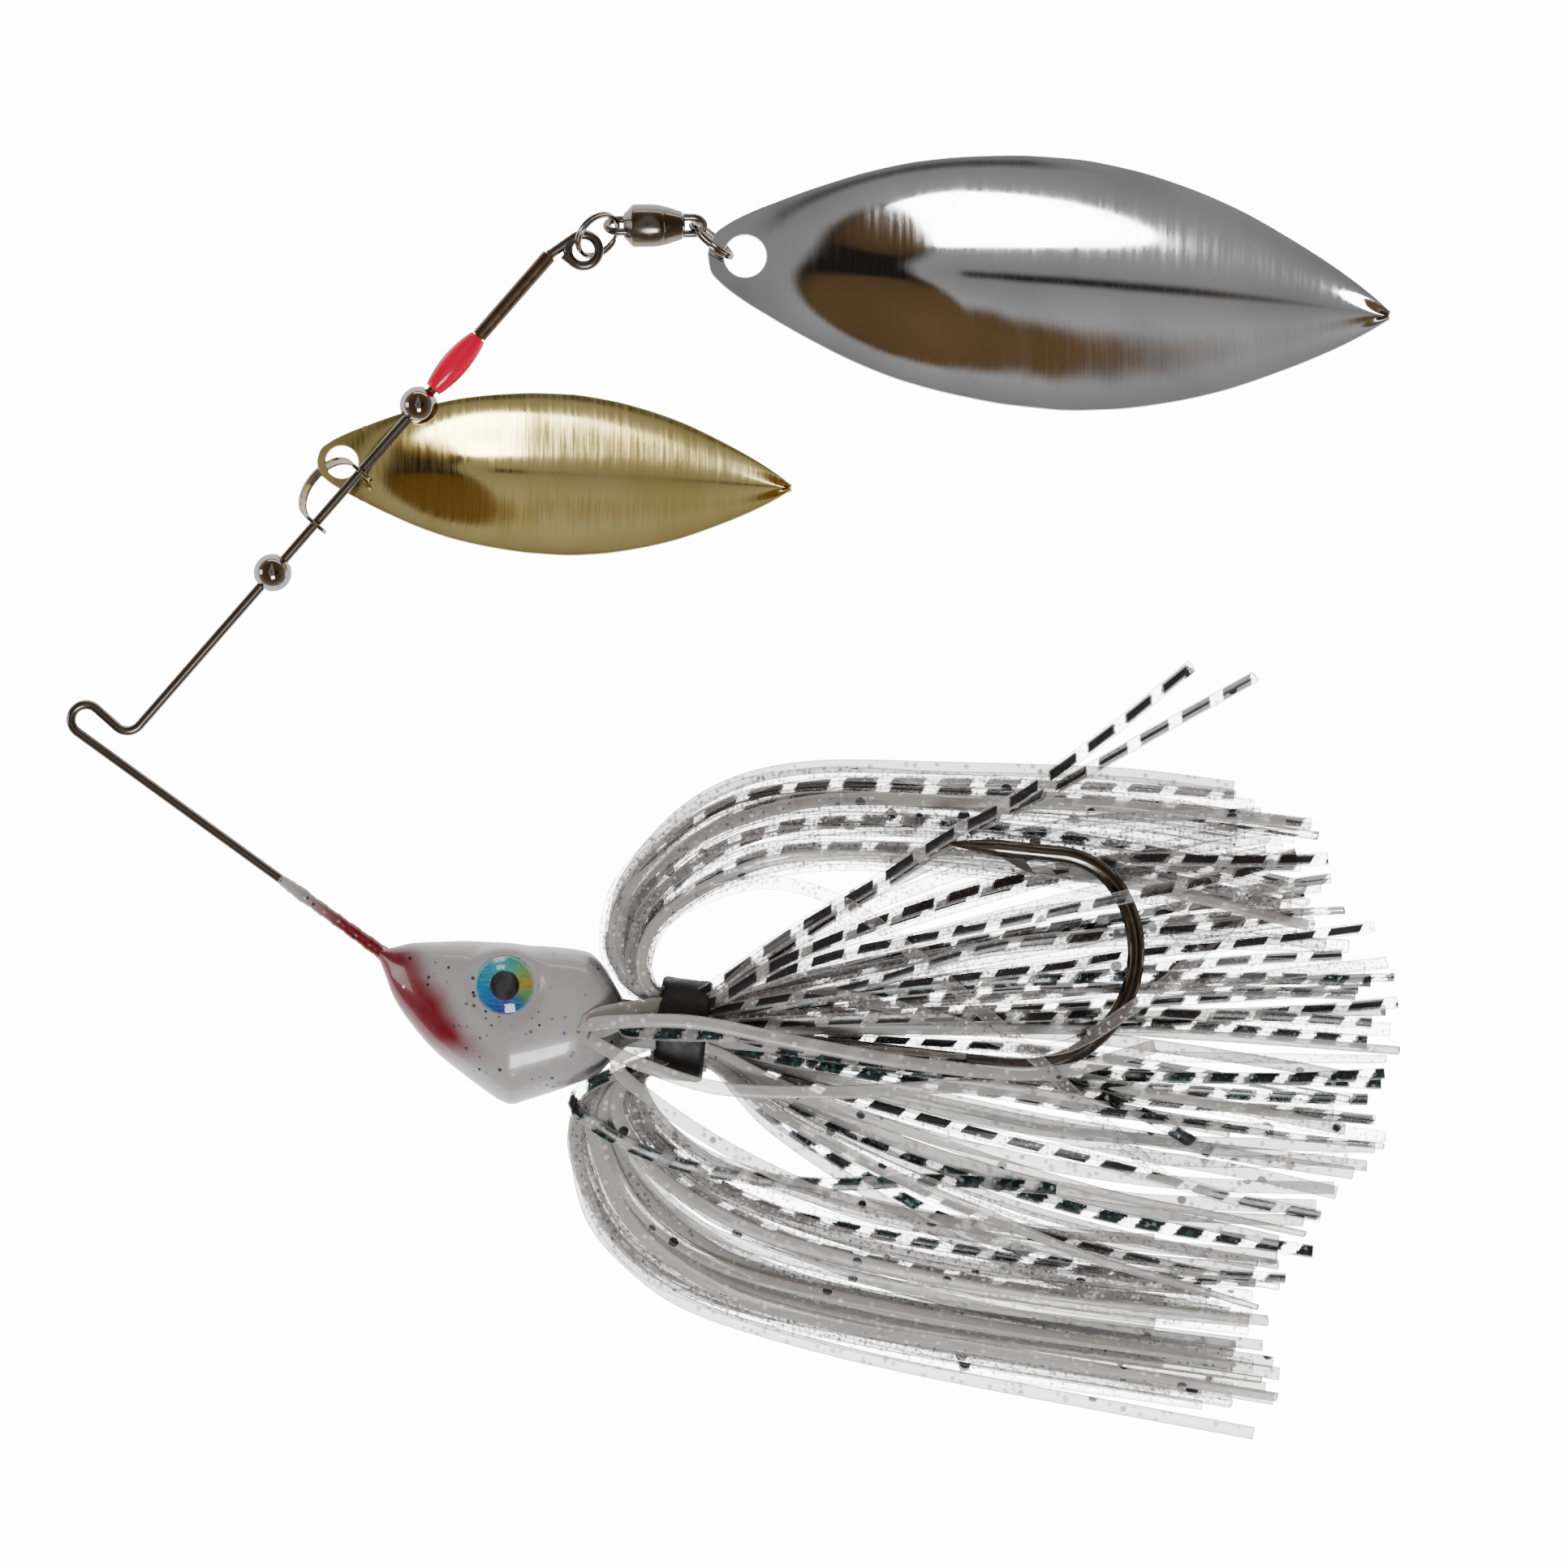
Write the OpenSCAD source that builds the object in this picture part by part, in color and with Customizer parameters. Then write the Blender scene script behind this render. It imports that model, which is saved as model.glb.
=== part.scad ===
// Tandem willow-leaf spinnerbait, lying on its side.
// X runs from the line tie towards the skirt tips, Z is up from the surface it lies on.
// The wire form, the head and the hook share one level plane.

/* [Wire form] */
// Diameter of the spring steel wire
wire_d = 1.0; // [0.9:0.02:1.02]
// Height of the wire and hook plane above the surface
wire_z = 6.2; // [6.2:0.05:6.4]
// Direction of the upper arm, degrees from +X
arm_angle = 48.9; // [48.7:0.1:49.1]
// Bend radius of the line tie
tie_r = 1.55; // [1.5:0.05:1.6]
// Bend radius where the upper arm starts
elbow_r = 1.65; // [1.6:0.05:1.7]
// Bend radius of the end loop
loop_r = 1.6; // [1.55:0.05:1.65]

/* [Head] */
// Half thickness of the lead head
head_half = 6.2; // [5.8:0.1:6.2]
// Radius of the glued eyes
eye_r = 3.0; // [2.6:0.1:3.1]
// Radius of the lead keeper under the skirt
keeper_r = 2.4; // [2.2:0.1:2.4]

/* [Hook] */
// Diameter of the hook wire
hook_d = 1.8; // [1.6:0.1:1.8]

/* [Skirt] */
// Outer radius of the rubber collar
collar_r = 5.25; // [5:0.05:5.5]
// Width of the rubber collar
collar_w = 5.2; // [4.8:0.1:5.2]
// Thickness of the skirt from the lowest to the highest strand
skirt_t = 12; // [11.5:0.1:12.4]

/* [Beads and clevis] */
// Radius of the round beads
bead_r = 1.95; // [1.8:0.05:1.95]
// Radius of every bore that runs on the wire
run_r = 0.59; // [0.56:0.01:0.6]
// Thickness of the clevis strip
clevis_t = 0.4; // [0.35:0.05:0.4]
// Width of the clevis strip
clevis_w = 1.0; // [0.8:0.05:1.05]

/* [Blades] */
// Length of the large blade
big_len = 70.9; // [70:0.1:71]
// Width of the large blade
big_wid = 25.9; // [25:0.1:26]
// Length of the small blade
small_len = 49.0; // [48:0.1:49]
// Width of the small blade
small_wid = 16.6; // [16:0.1:17]
// Sheet thickness of both blades
sheet = 0.5; // [0.4:0.05:0.5]

/* [Swivel and split rings] */
// Height of the swivel axis
swivel_z = 5.3; // [5.25:0.05:5.35]
// Radius of the swivel barrel
barrel_r = 2.2; // [2.1:0.05:2.3]
// Radial thickness of a split ring
ring_t = 0.45; // [0.4:0.05:0.45]
// Width of the two coils of a split ring together
ring_w = 0.8; // [0.7:0.05:0.8]

/* [Hidden] */
$fn = 36;

wr = wire_d / 2;
hr = hook_d / 2;

// Upper arm: a point on it, its direction and its left normal
P0 = [-48.4, 21.6];
ud = [cos(arm_angle), sin(arm_angle)];
un = [-sin(arm_angle), cos(arm_angle)];
function arm(t) = [P0.x + t * ud.x, P0.y + t * ud.y, wire_z];

// Line tie bend, elbow bend and the straight between them
TA = [-67.55, 6.5];
EB = [P0.x - 20.8 * ud.x + elbow_r * un.x, P0.y - 20.8 * ud.y + elbow_r * un.y];
th = atan2(EB.y - TA.y, EB.x - TA.x) - asin((tie_r + elbow_r) / norm(EB - TA));

// End loop: the wire turns a little where it leaves the sleeve and runs straight into the loop
mouth = arm(43.4);
LC = [-16.5, 54.7];
tag = [-18.5, 54.25];
th_s = atan2(LC.y - mouth.y, LC.x - mouth.x) + asin(loop_r / norm(LC - [mouth.x, mouth.y]));
th_g = atan2(tag.y - LC.y, tag.x - LC.x) + acos(loop_r / norm(tag - LC)) - 360;

// Lower arm: direction, start, and the place in the head where it takes the hook's eye
low_a = -35.9;
ld = [cos(low_a), sin(low_a)];
L0 = [TA.x + tie_r * sin(low_a), TA.y - tie_r * cos(low_a)];
grip = L0 + 49.45 * ld;

// Hook: centre of its eye, direction of its shank, start of the shank
hook_eye = grip + 1.9 * ld;
shank_a = -6.5;
sd = [cos(shank_a), sin(shank_a)];
sn = [-sin(shank_a), cos(shank_a)];
S0 = hook_eye + 1.9 * sn;
collar_c = S0 + 20.45 * sd;

module rod(a, b, r) {
    v = b - a;
    translate(a) rotate([0, acos(v.z / norm(v)), atan2(v.y, v.x)]) cylinder(h = norm(v), r = r);
}
module arc(c, R, r, a0, a1) {
    translate([c.x, c.y, wire_z]) rotate([0, 0, a0])
        rotate_extrude(angle = a1 - a0) translate([R, 0]) circle(r = r);
}
function polar(c, R, a) = [c.x + R * cos(a), c.y + R * sin(a), wire_z];

// Filled joint between two stretches that meet at p in the direction a
module joint(p, a, r, h = 0.12) { translate(p) rotate([0, 90, a]) cylinder(h = h, r = r + 0.02, center = true); }
module wire_path(r) {
    // the buried end stops just short of the hook's eye
    g = grip - 1.3 * ld;
    rod([g.x, g.y, wire_z], [L0.x, L0.y, wire_z], r);
    arc(TA, tie_r, r, th + 90, low_a + 270);
    rod(polar(TA, tie_r, th + 90), polar(EB, elbow_r, th - 90), r);
    arc(EB, elbow_r, r, th - 90, arm_angle - 90);
    rod(polar(EB, elbow_r, arm_angle - 90), mouth, r);
    rod(mouth, polar(LC, loop_r, th_s + 90), r);
    arc(LC, loop_r, r, th_g, th_s + 90);
    rod(polar(LC, loop_r, th_g), [tag.x, tag.y, wire_z], r);
    joint([L0.x, L0.y, wire_z], low_a, r);
    joint(polar(TA, tie_r, th + 90), th, r);
    joint(polar(EB, elbow_r, th - 90), th, r);
    joint(polar(EB, elbow_r, arm_angle - 90), arm_angle, r);
    joint(mouth, arm_angle - 7, r + 0.03, 0.2);
    joint(polar(LC, loop_r, th_s + 90), th_s, r);
    joint(polar(LC, loop_r, th_g), th_g + 90, r);
}
module wire_form() { color([0.36, 0.32, 0.28]) wire_path(wr); }

// Stations of the head: x, top y, bottom y, half thickness as a share of head_half
HS = [[-37.4, -17.0, -18.0, 0.10], [-36.8, -16.95, -19.8, 0.2], [-36, -16.85, -21.9, 0.32],
    [-34, -16.4, -24.9, 0.52], [-31.7, -16.3, -27.5, 0.69], [-29, -16.2, -29.7, 0.84],
    [-26.3, -16.3, -31.7, 0.94], [-24.9, -16.4, -32.6, 0.98], [-23.8, -16.5, -32.95, 1],
    [-22.5, -16.65, -32.6, 1], [-19.8, -16.8, -31.75, 0.99], [-17.1, -17.1, -30.8, 0.95],
    [-15.9, -17.4, -30.3, 0.9], [-14.9, -18.2, -29.8, 0.82], [-13.5, -20.3, -28.4, 0.62],
    [-12.1, -22.7, -27.1, 0.4]];
NA = 28;
function sq(v, e) = v < 0 ? -pow(-v, e) : pow(v, e);
function head_pts() = [for (s = HS) for (k = [0:NA - 1])
    let (a = 360 * k / NA, m = (s[1] + s[2]) / 2, q = (s[1] - s[2]) / 2)
        [s[0], m + q * sq(cos(a), 0.8), wire_z + head_half * s[3] * sq(sin(a), 0.8)]];
module head_body() {
    n = len(HS);
    polyhedron(points = head_pts(), convexity = 4, faces = concat(
        [[for (k = [0:NA - 1]) k]],
        [for (i = [0:n - 2]) for (k = [0:NA - 1])
            let (a = i * NA + k, b = i * NA + (k + 1) % NA) [a, a + NA, b + NA, b]],
        [[for (k = [0:NA - 1]) (n - 1) * NA + NA - 1 - k]]));
}
eye_c = [-24.25, -21.25];
eye_h = 4.9;
module keeper(r, x0, x1) {
    translate([collar_c.x, collar_c.y, wire_z]) rotate([0, 0, shank_a]) rotate([0, 90, 0])
        translate([0, 0, x0]) cylinder(h = x1 - x0, r = r);
}
module eye_place(side) {
    translate([eye_c.x, eye_c.y, wire_z]) rotate([0, side > 0 ? 0 : 180, 0])
        rotate([-8, 0, 0]) translate([0, 0, eye_h]) children();
}
module head() {
    color([0.82, 0.82, 0.84]) difference() {
        union() {
            head_body();
            keeper(keeper_r, -6.5, 2.8);
            for (s = [-1, 1]) eye_place(s) translate([0, 0, -2.4]) cylinder(h = 2.4, r = eye_r + 0.25);
        }
        for (s = [-1, 1]) eye_place(s) cylinder(h = 4, r = eye_r + 0.25);
        // pocket around the buried wire end and hook eye, with the bores that hold both
        translate([grip.x, grip.y, wire_z - 1.7]) cylinder(h = 4.5, r = 2.8);
        translate([hook_eye.x, hook_eye.y, wire_z - 1.7]) cylinder(h = 4.5, r = 3.0);
        rod([grip.x - 14 * ld.x, grip.y - 14 * ld.y, wire_z], [grip.x, grip.y, wire_z], wr);
        rod([S0.x, S0.y, wire_z], [S0.x + 30 * sd.x, S0.y + 30 * sd.y, wire_z], hr);
    }
}
module eye_foil(s) { eye_place(s) cylinder(h = 0.12, r = eye_r); }
module eye_dome(s) {
    cap = 0.75;
    R = (eye_r * eye_r + cap * cap) / (2 * cap);
    am = asin(eye_r / R);
    eye_place(s) translate([0, 0, 0.12]) rotate_extrude($fn = 64)
        polygon(concat([[0, 0]], [for (k = [8:-1:0]) [R * sin(am * k / 8), R * cos(am * k / 8) - R + cap]]));
}
module upper_eye_foil() { color([0.35, 0.8, 0.95]) eye_foil(1); }
module upper_eye_dome() { color([0.9, 0.95, 1, 0.4]) eye_dome(1); }
module lower_eye_foil() { color([0.35, 0.8, 0.95]) eye_foil(-1); }
module lower_eye_dome() { color([0.9, 0.95, 1, 0.4]) eye_dome(-1); }

// Hook: buried eye, shank, bend of two arcs, leg and conical point
bend_c = S0 + 54.0 * sd + 11.9 * sn;
bend_d = bend_c + 3.9 * [cos(30), sin(30)];
leg_a = 174;
module hook_solid(r) {
    arc(hook_eye, 1.9, r, shank_a + 90, shank_a + 360);
    s1 = S0 + 54.0 * sd;
    rod([S0.x, S0.y, wire_z], [s1.x, s1.y, wire_z], r);
    arc(bend_c, 11.9, r, shank_a - 90, 30);
    arc(bend_d, 8, r, 30, leg_a - 90);
    leg = polar(bend_d, 8, leg_a - 90);
    joint([S0.x, S0.y, wire_z], shank_a, r);
    joint([s1.x, s1.y, wire_z], shank_a, r);
    joint(polar(bend_c, 11.9, 30), 120, r);
    joint(leg, leg_a, r);
    translate(leg) rotate([0, 90, leg_a]) cylinder(h = 7.2, r = r);
    translate(leg) rotate([0, 90, leg_a]) translate([0, 0, 7.2]) cylinder(h = 4.7, r1 = r, r2 = 0.12);
}
module hook() {
    color([0.34, 0.32, 0.3]) union() {
        hook_solid(hr);
        // barb, raised from the inner side of the point
        translate([28.6, -7.2, wire_z]) rotate([0, 90, -48]) cylinder(h = 2.2, r1 = 0.4, r2 = 0.1);
    }
}

module skirt_collar() {
    color([0.04, 0.04, 0.045]) translate([collar_c.x, collar_c.y, wire_z])
        rotate([0, 0, shank_a]) rotate([0, 90, 0]) rotate_extrude($fn = 72)
            polygon([[4.4, -collar_w / 2], [collar_r - 0.3, -collar_w / 2], [collar_r, -collar_w / 2 + 0.35],
                [collar_r, collar_w / 2 - 0.35], [collar_r - 0.3, collar_w / 2], [4.4, collar_w / 2]]);
}

module shank_bore() {
    rod([S0.x + 12 * sd.x, S0.y + 12 * sd.y, wire_z], [S0.x + 40 * sd.x, S0.y + 40 * sd.y, wire_z], hr + 0.02);
}
// Strands that leave the rear of the collar, above and below the hook
module skirt_tail() {
    z0 = 0;
    color([0.86, 0.86, 0.86]) union() {
        difference() {
            keeper(4.35, -2.6, 3.2);
            keeper(keeper_r, -9, 2.8);
            shank_bore();
        }
        difference() {
            linear_extrude(height = skirt_t) polygon([[-3.1, -21.2], [5, -15.5], [15, -10.5],
                [30, -7.6], [45, -6.9], [57, -7.2], [62, -12], [65.5, -16.5], [69.6, -22.7],
                [66.9, -37.7], [60.5, -47], [56, -55], [46.5, -60.3], [30, -55.9], [11, -49],
                [1.2, -42.8], [-4.2, -35.6], [-3.1, -29.8]]);
            translate([1.5, -80, 3.6]) cube([90, 90, 5.2]);
            keeper(keeper_r, -9, 2.8);
            shank_bore();
        }
    }
}
// Strands that leave the front of the collar, fold back over it and sweep to the rear
module skirt_upper_fold() {
    color([0.88, 0.88, 0.88]) translate([0, 0, 0.4]) linear_extrude(height = skirt_t - 0.8)
        polygon([[-9.3, -22.3], [-11.4, -22.3], [-11.9, -20], [-13.2, -18.4], [-13.8, -16],
            [-12.2, -10], [-7.2, -3.8], [-1.4, 0], [7, 1.4], [12, 1.4], [35, 0.6], [56.1, -1.1],
            [56.1, -5.8], [45, -5.4], [37, -4.9], [18, -4.9], [11, -7.6], [2, -12.5], [-4, -16.2],
            [-7.4, -18.9], [-9.3, -19.7]]);
}
module skirt_lower_fold() {
    color([0.88, 0.88, 0.88]) translate([0, 0, 0.4]) linear_extrude(height = skirt_t - 0.8)
        polygon([[-9.9, -28.5], [-11.6, -28.5], [-12.6, -30.2], [-16.6, -33], [-17.4, -36.3], [-16, -43],
            [-13, -48.7], [-7.2, -52.9], [2.8, -56.3], [15.3, -59.6], [32, -62.6], [43.2, -64.75],
            [45.6, -61.8], [30, -57.4], [10, -50.4], [-0.2, -44], [-6, -36], [-8.2, -32], [-9.9, -31]]);
}

module on_arm(t) { translate(arm(t)) rotate([0, 90, arm_angle]) children(); }
module bead() {
    // hollow pressed bead with a rounded rim at each bore
    rotate_extrude($fn = 48) difference() {
        circle(r = bead_r, $fn = 48);
        translate([-9, -9]) square([9 + run_r, 18]);
    }
}
t_upper = 22.8;
t_clevis = 10.2;
module lower_bead() { color([0.75, 0.74, 0.72]) on_arm(0) bead(); }
module upper_bead() { color([0.75, 0.74, 0.72]) on_arm(t_upper) bead(); }
module attractor_bead() {
    L = 7.1;
    color([0.92, 0.08, 0.35]) on_arm(25.0) rotate_extrude($fn = 48)
        polygon(concat([[run_r, 0]], [for (i = [0:10]) let (u = i / 10)
            [0.85 + 0.55 * pow(sin(180 * u), 0.8), L * u]], [[run_r, L]]));
}
module spacer_sleeve() {
    color([0.28, 0.22, 0.17]) on_arm(32.2) difference() {
        cylinder(h = 11.0, r = 0.775);
        translate([0, 0, -1]) cylinder(h = 14, r = wr);
    }
}

// Clevis: folded strip, drilled tabs square to the wire, bow through the small blade's hole
clevis_half = 3.55;
clevis_tilt = 47;
clevis_reach = 5.7;
module clevis() {
    ro = clevis_half + clevis_t / 2;
    ri = clevis_half - clevis_t / 2;
    tc = clevis_reach - ro;
    // local x along the wire, local y towards the bow
    color([0.62, 0.6, 0.57]) translate(arm(t_clevis)) rotate([0, 0, arm_angle]) rotate([-clevis_tilt, 0, 0])
        difference() {
            union() {
                translate([0, tc, -clevis_w / 2]) rotate_extrude(angle = 180) translate([ri, 0])
                    square([clevis_t, clevis_w]);
                for (s = [-1, 1]) {
                    translate([s * clevis_half - clevis_t / 2, -0.4, -clevis_w / 2])
                        cube([clevis_t, tc + 0.4, clevis_w]);
                    translate([s * clevis_half - clevis_t / 2, -0.2, 0]) rotate([0, 90, 0])
                        cylinder(h = clevis_t, r = 1.45);
                }
            }
            translate([-9, 0, 0]) rotate([0, 90, 0]) cylinder(h = 18, r = run_r);
        }
}

// Willow-leaf outline: share of length against share of half width
LEAF = [[0, 0.02], [0.006, 0.14], [0.02, 0.22], [0.05, 0.33], [0.1, 0.47], [0.16, 0.62], [0.23, 0.77],
    [0.3, 0.88], [0.38, 0.955], [0.46, 0.995], [0.52, 1], [0.6, 0.96], [0.68, 0.87], [0.76, 0.735],
    [0.84, 0.545], [0.92, 0.32], [0.97, 0.15], [1, 0.03]];
STN = [0, 0.003, 0.01, 0.02, 0.035, 0.05, 0.075, 0.1, 0.13, 0.16, 0.2, 0.25, 0.3, 0.36, 0.42, 0.48, 0.54,
    0.6, 0.66, 0.72, 0.78, 0.84, 0.9, 0.95, 0.98, 1];
function smooth(a, b, v) = let (u = max(0, min(1, (v - a) / (b - a)))) u * u * (3 - 2 * u);
// cup depth along the blade, 0 at the hole, D at the belly, a crease at the tip
function cup(t, D) = D * smooth(0.06, 0.42, t) * (1 - 0.82 * smooth(0.5, 1.02, t));
function rim(t, z0, z1, z2) = t < 0.45 ? z0 + (z1 - z0) * smooth(0, 0.45, t)
    : z1 + (z2 - z1) * smooth(0.45, 1.1, t) * 1.0;
MB = 14;
function blade_pts(L, W, z0, z1, z2, D, dz) = [for (t = STN) for (j = [0:MB])
    let (u = 2 * j / MB - 1, w = lookup(t, LEAF) * W / 2)
        [L * t, w * u, rim(t, z0, z1, z2) - cup(t, D) * (1 + cos(180 * abs(u))) / 2 + dz]];
module blade(L, W, z0, z1, z2, D) {
    n = len(STN);
    m = MB + 1;
    o = n * m;
    polyhedron(points = concat(blade_pts(L, W, z0, z1, z2, D, sheet / 2), blade_pts(L, W, z0, z1, z2, D, -sheet / 2)),
        convexity = 6, faces = concat(
        [for (i = [0:n - 2]) for (j = [0:MB - 1]) let (a = i * m + j) each [[a, a + 1, a + m], [a + 1, a + m + 1, a + m]]],
        [for (i = [0:n - 2]) for (j = [0:MB - 1]) let (a = o + i * m + j) each [[a, a + m, a + 1], [a + 1, a + m, a + m + 1]]],
        [for (i = [0:n - 2]) let (a = i * m) each [[a, a + m, o + a], [a + m, o + a + m, o + a]]],
        [for (i = [0:n - 2]) let (a = i * m + MB) each [[a, o + a, a + m], [a + m, o + a, o + a + m]]],
        [for (j = [0:MB - 1]) each [[j, o + j, j + 1], [j + 1, o + j, o + j + 1]]],
        [for (j = [0:MB - 1]) let (a = (n - 1) * m + j) each [[a, a + 1, o + a], [a + 1, o + a + 1, o + a]]]));
}
module gold_blade() {
    color([0.72, 0.6, 0.28]) translate([-44.1, 33.3, 0]) rotate([0, 0, -3.1]) difference() {
        blade(small_len, small_wid, 3.2, 2.4, 1.3, 2.15);
        translate([2.5, 0, -2]) cylinder(h = 9, r = 1.75);
    }
}
module nickel_blade() {
    color([0.62, 0.62, 0.62]) translate([-3.7, 54.75, 0]) rotate([0, 0, -5.05]) difference() {
        blade(big_len, big_wid, 3.5, 3.5, 1.4, 3.25);
        translate([3.8, 0, -2]) cylinder(h = 9, r = 2.25);
    }
}

// Split rings: two flat coils of wire pressed together
ring_a_c = [-15.02, 56.24, 6.24];
ring_a_r = 2.42;
ring_b_c = [-3.35, 56.01, 4.04];
ring_b_r = 2.68;
module split_ring(c, n, r) {
    translate(c) rotate([0, acos(n.z / norm(n)), atan2(n.y, n.x)]) rotate_extrude($fn = 64)
        translate([r - ring_t / 2, -ring_w / 2]) square([ring_t, ring_w]);
}
module front_split_ring() { color([0.66, 0.65, 0.63]) split_ring(ring_a_c, [0.577, -0.575, 0.58], ring_a_r); }
module rear_split_ring() { color([0.66, 0.65, 0.63]) split_ring(ring_b_c, [0.64, 0.73, 0.22], ring_b_r); }

// Ball-bearing swivel, axis along X
swivel_y = 57.35;
module on_swivel(x) { translate([x, swivel_y, swivel_z]) rotate([0, 90, 0]) children(); }
eye_bend = 1.15;
eye_wire = 0.4;
module eye_loop(x, leg, dir, roll) {
    translate([x, swivel_y, swivel_z]) rotate([roll, 0, 0]) rotate([0, 0, dir > 0 ? 0 : 180]) {
        rotate([0, 0, -90]) rotate_extrude(angle = 180) translate([eye_bend, 0]) circle(r = eye_wire);
        for (s = [-1, 1]) translate([0, s * eye_bend, 0]) rotate([0, -90, 0]) cylinder(h = leg, r = eye_wire);
    }
}
module swivel_front_eye() { color([0.5, 0.48, 0.45]) eye_loop(-12.98, 1.3, -1, -50); }
module swivel_barrel() {
    color([0.52, 0.5, 0.48]) difference() {
        on_swivel(-12.4) rotate_extrude($fn = 64) polygon([[0, 0], [1.25, 0], [1.35, 0.15], [barrel_r - 0.1, 0.85],
            [barrel_r, 1.0], [barrel_r, 2.9], [barrel_r - 0.06, 3.5], [2.0, 4.2], [1.6, 4.2], [1.6, 1.95], [0, 1.95]]);
        eye_loop(-12.98, 1.3, -1, -50);
    }
}
module swivel_end_cap() {
    color([0.55, 0.53, 0.5]) on_swivel(-8.2) rotate_extrude($fn = 64)
        polygon([[0.64, 0], [2.0, 0], [1.45, 1.8], [1.35, 1.86], [0.64, 1.86]]);
}
module swivel_rear_eye() {
    color([0.5, 0.48, 0.45]) union() {
        eye_loop(-5.3, 0.8, 1, 50);
        on_swivel(-6.3) cylinder(h = 0.22, r = 1.3);
        on_swivel(-9.75) cylinder(h = 3.6, r = 0.55);
        on_swivel(-9.75) cylinder(h = 0.55, r = 1.45);
    }
}
module swivel_balls() {
    color([0.7, 0.7, 0.7]) on_swivel(-8.7) for (k = [0:5]) rotate([0, 0, 60 * k])
        translate([1.08, 0, 0]) sphere(r = 0.44);
}

wire_form();
head();
upper_eye_foil();
upper_eye_dome();
lower_eye_foil();
lower_eye_dome();
hook();
skirt_collar();
skirt_tail();
skirt_upper_fold();
skirt_lower_fold();
lower_bead();
upper_bead();
attractor_bead();
spacer_sleeve();
clevis();
gold_blade();
front_split_ring();
rear_split_ring();
swivel_barrel();
swivel_end_cap();
swivel_front_eye();
swivel_rear_eye();
swivel_balls();
nickel_blade();
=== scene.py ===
import bpy
import bmesh
import math
import random
import numpy as np
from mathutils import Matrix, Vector
from mathutils.geometry import delaunay_2d_cdt


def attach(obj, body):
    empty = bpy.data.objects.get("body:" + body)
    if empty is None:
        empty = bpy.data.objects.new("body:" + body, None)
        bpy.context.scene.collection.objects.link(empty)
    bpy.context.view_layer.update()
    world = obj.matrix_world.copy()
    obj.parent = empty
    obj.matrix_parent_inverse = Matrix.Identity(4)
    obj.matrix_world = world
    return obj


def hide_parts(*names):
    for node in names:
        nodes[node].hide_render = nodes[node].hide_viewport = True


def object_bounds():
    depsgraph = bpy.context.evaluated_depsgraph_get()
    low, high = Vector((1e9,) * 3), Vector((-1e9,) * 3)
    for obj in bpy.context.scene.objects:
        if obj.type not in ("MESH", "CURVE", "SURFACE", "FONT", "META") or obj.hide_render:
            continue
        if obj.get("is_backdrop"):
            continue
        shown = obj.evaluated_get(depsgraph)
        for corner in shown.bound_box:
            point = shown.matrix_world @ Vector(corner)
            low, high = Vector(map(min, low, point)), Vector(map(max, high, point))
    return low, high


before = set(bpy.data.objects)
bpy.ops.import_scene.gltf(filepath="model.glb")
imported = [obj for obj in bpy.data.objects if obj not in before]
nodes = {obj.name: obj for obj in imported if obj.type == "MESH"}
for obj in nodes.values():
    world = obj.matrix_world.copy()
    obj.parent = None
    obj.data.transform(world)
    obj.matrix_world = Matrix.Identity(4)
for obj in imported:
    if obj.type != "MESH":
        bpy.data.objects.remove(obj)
cad_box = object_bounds()
MM = 0.001
rng = random.Random(7)

# ------------------------------------------------------------------ camera, floor, light
scene = bpy.context.scene
cam_data = bpy.data.cameras.new("camera")
cam = bpy.data.objects.new("camera", cam_data)
scene.collection.objects.link(cam)
cam_data.lens = 100.0
cam_data.sensor_width = 36.0
cam_data.clip_start = 0.01
cam_data.clip_end = 20.0
cam.location = (0.0041, -0.0001, 0.0062 + 0.1610 / 0.36)
cam.rotation_euler = (0, 0, 0)
scene.camera = cam


# ------------------------------------------------------------------ material helpers
def fill_ramp(e, stops):
    e[0].position, e[0].color = stops[0][0], (*stops[0][1], 1)
    e[-1].position, e[-1].color = stops[-1][0], (*stops[-1][1], 1)
    for p, c in stops[1:-1]:
        e.new(p).color = (*c, 1)


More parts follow.
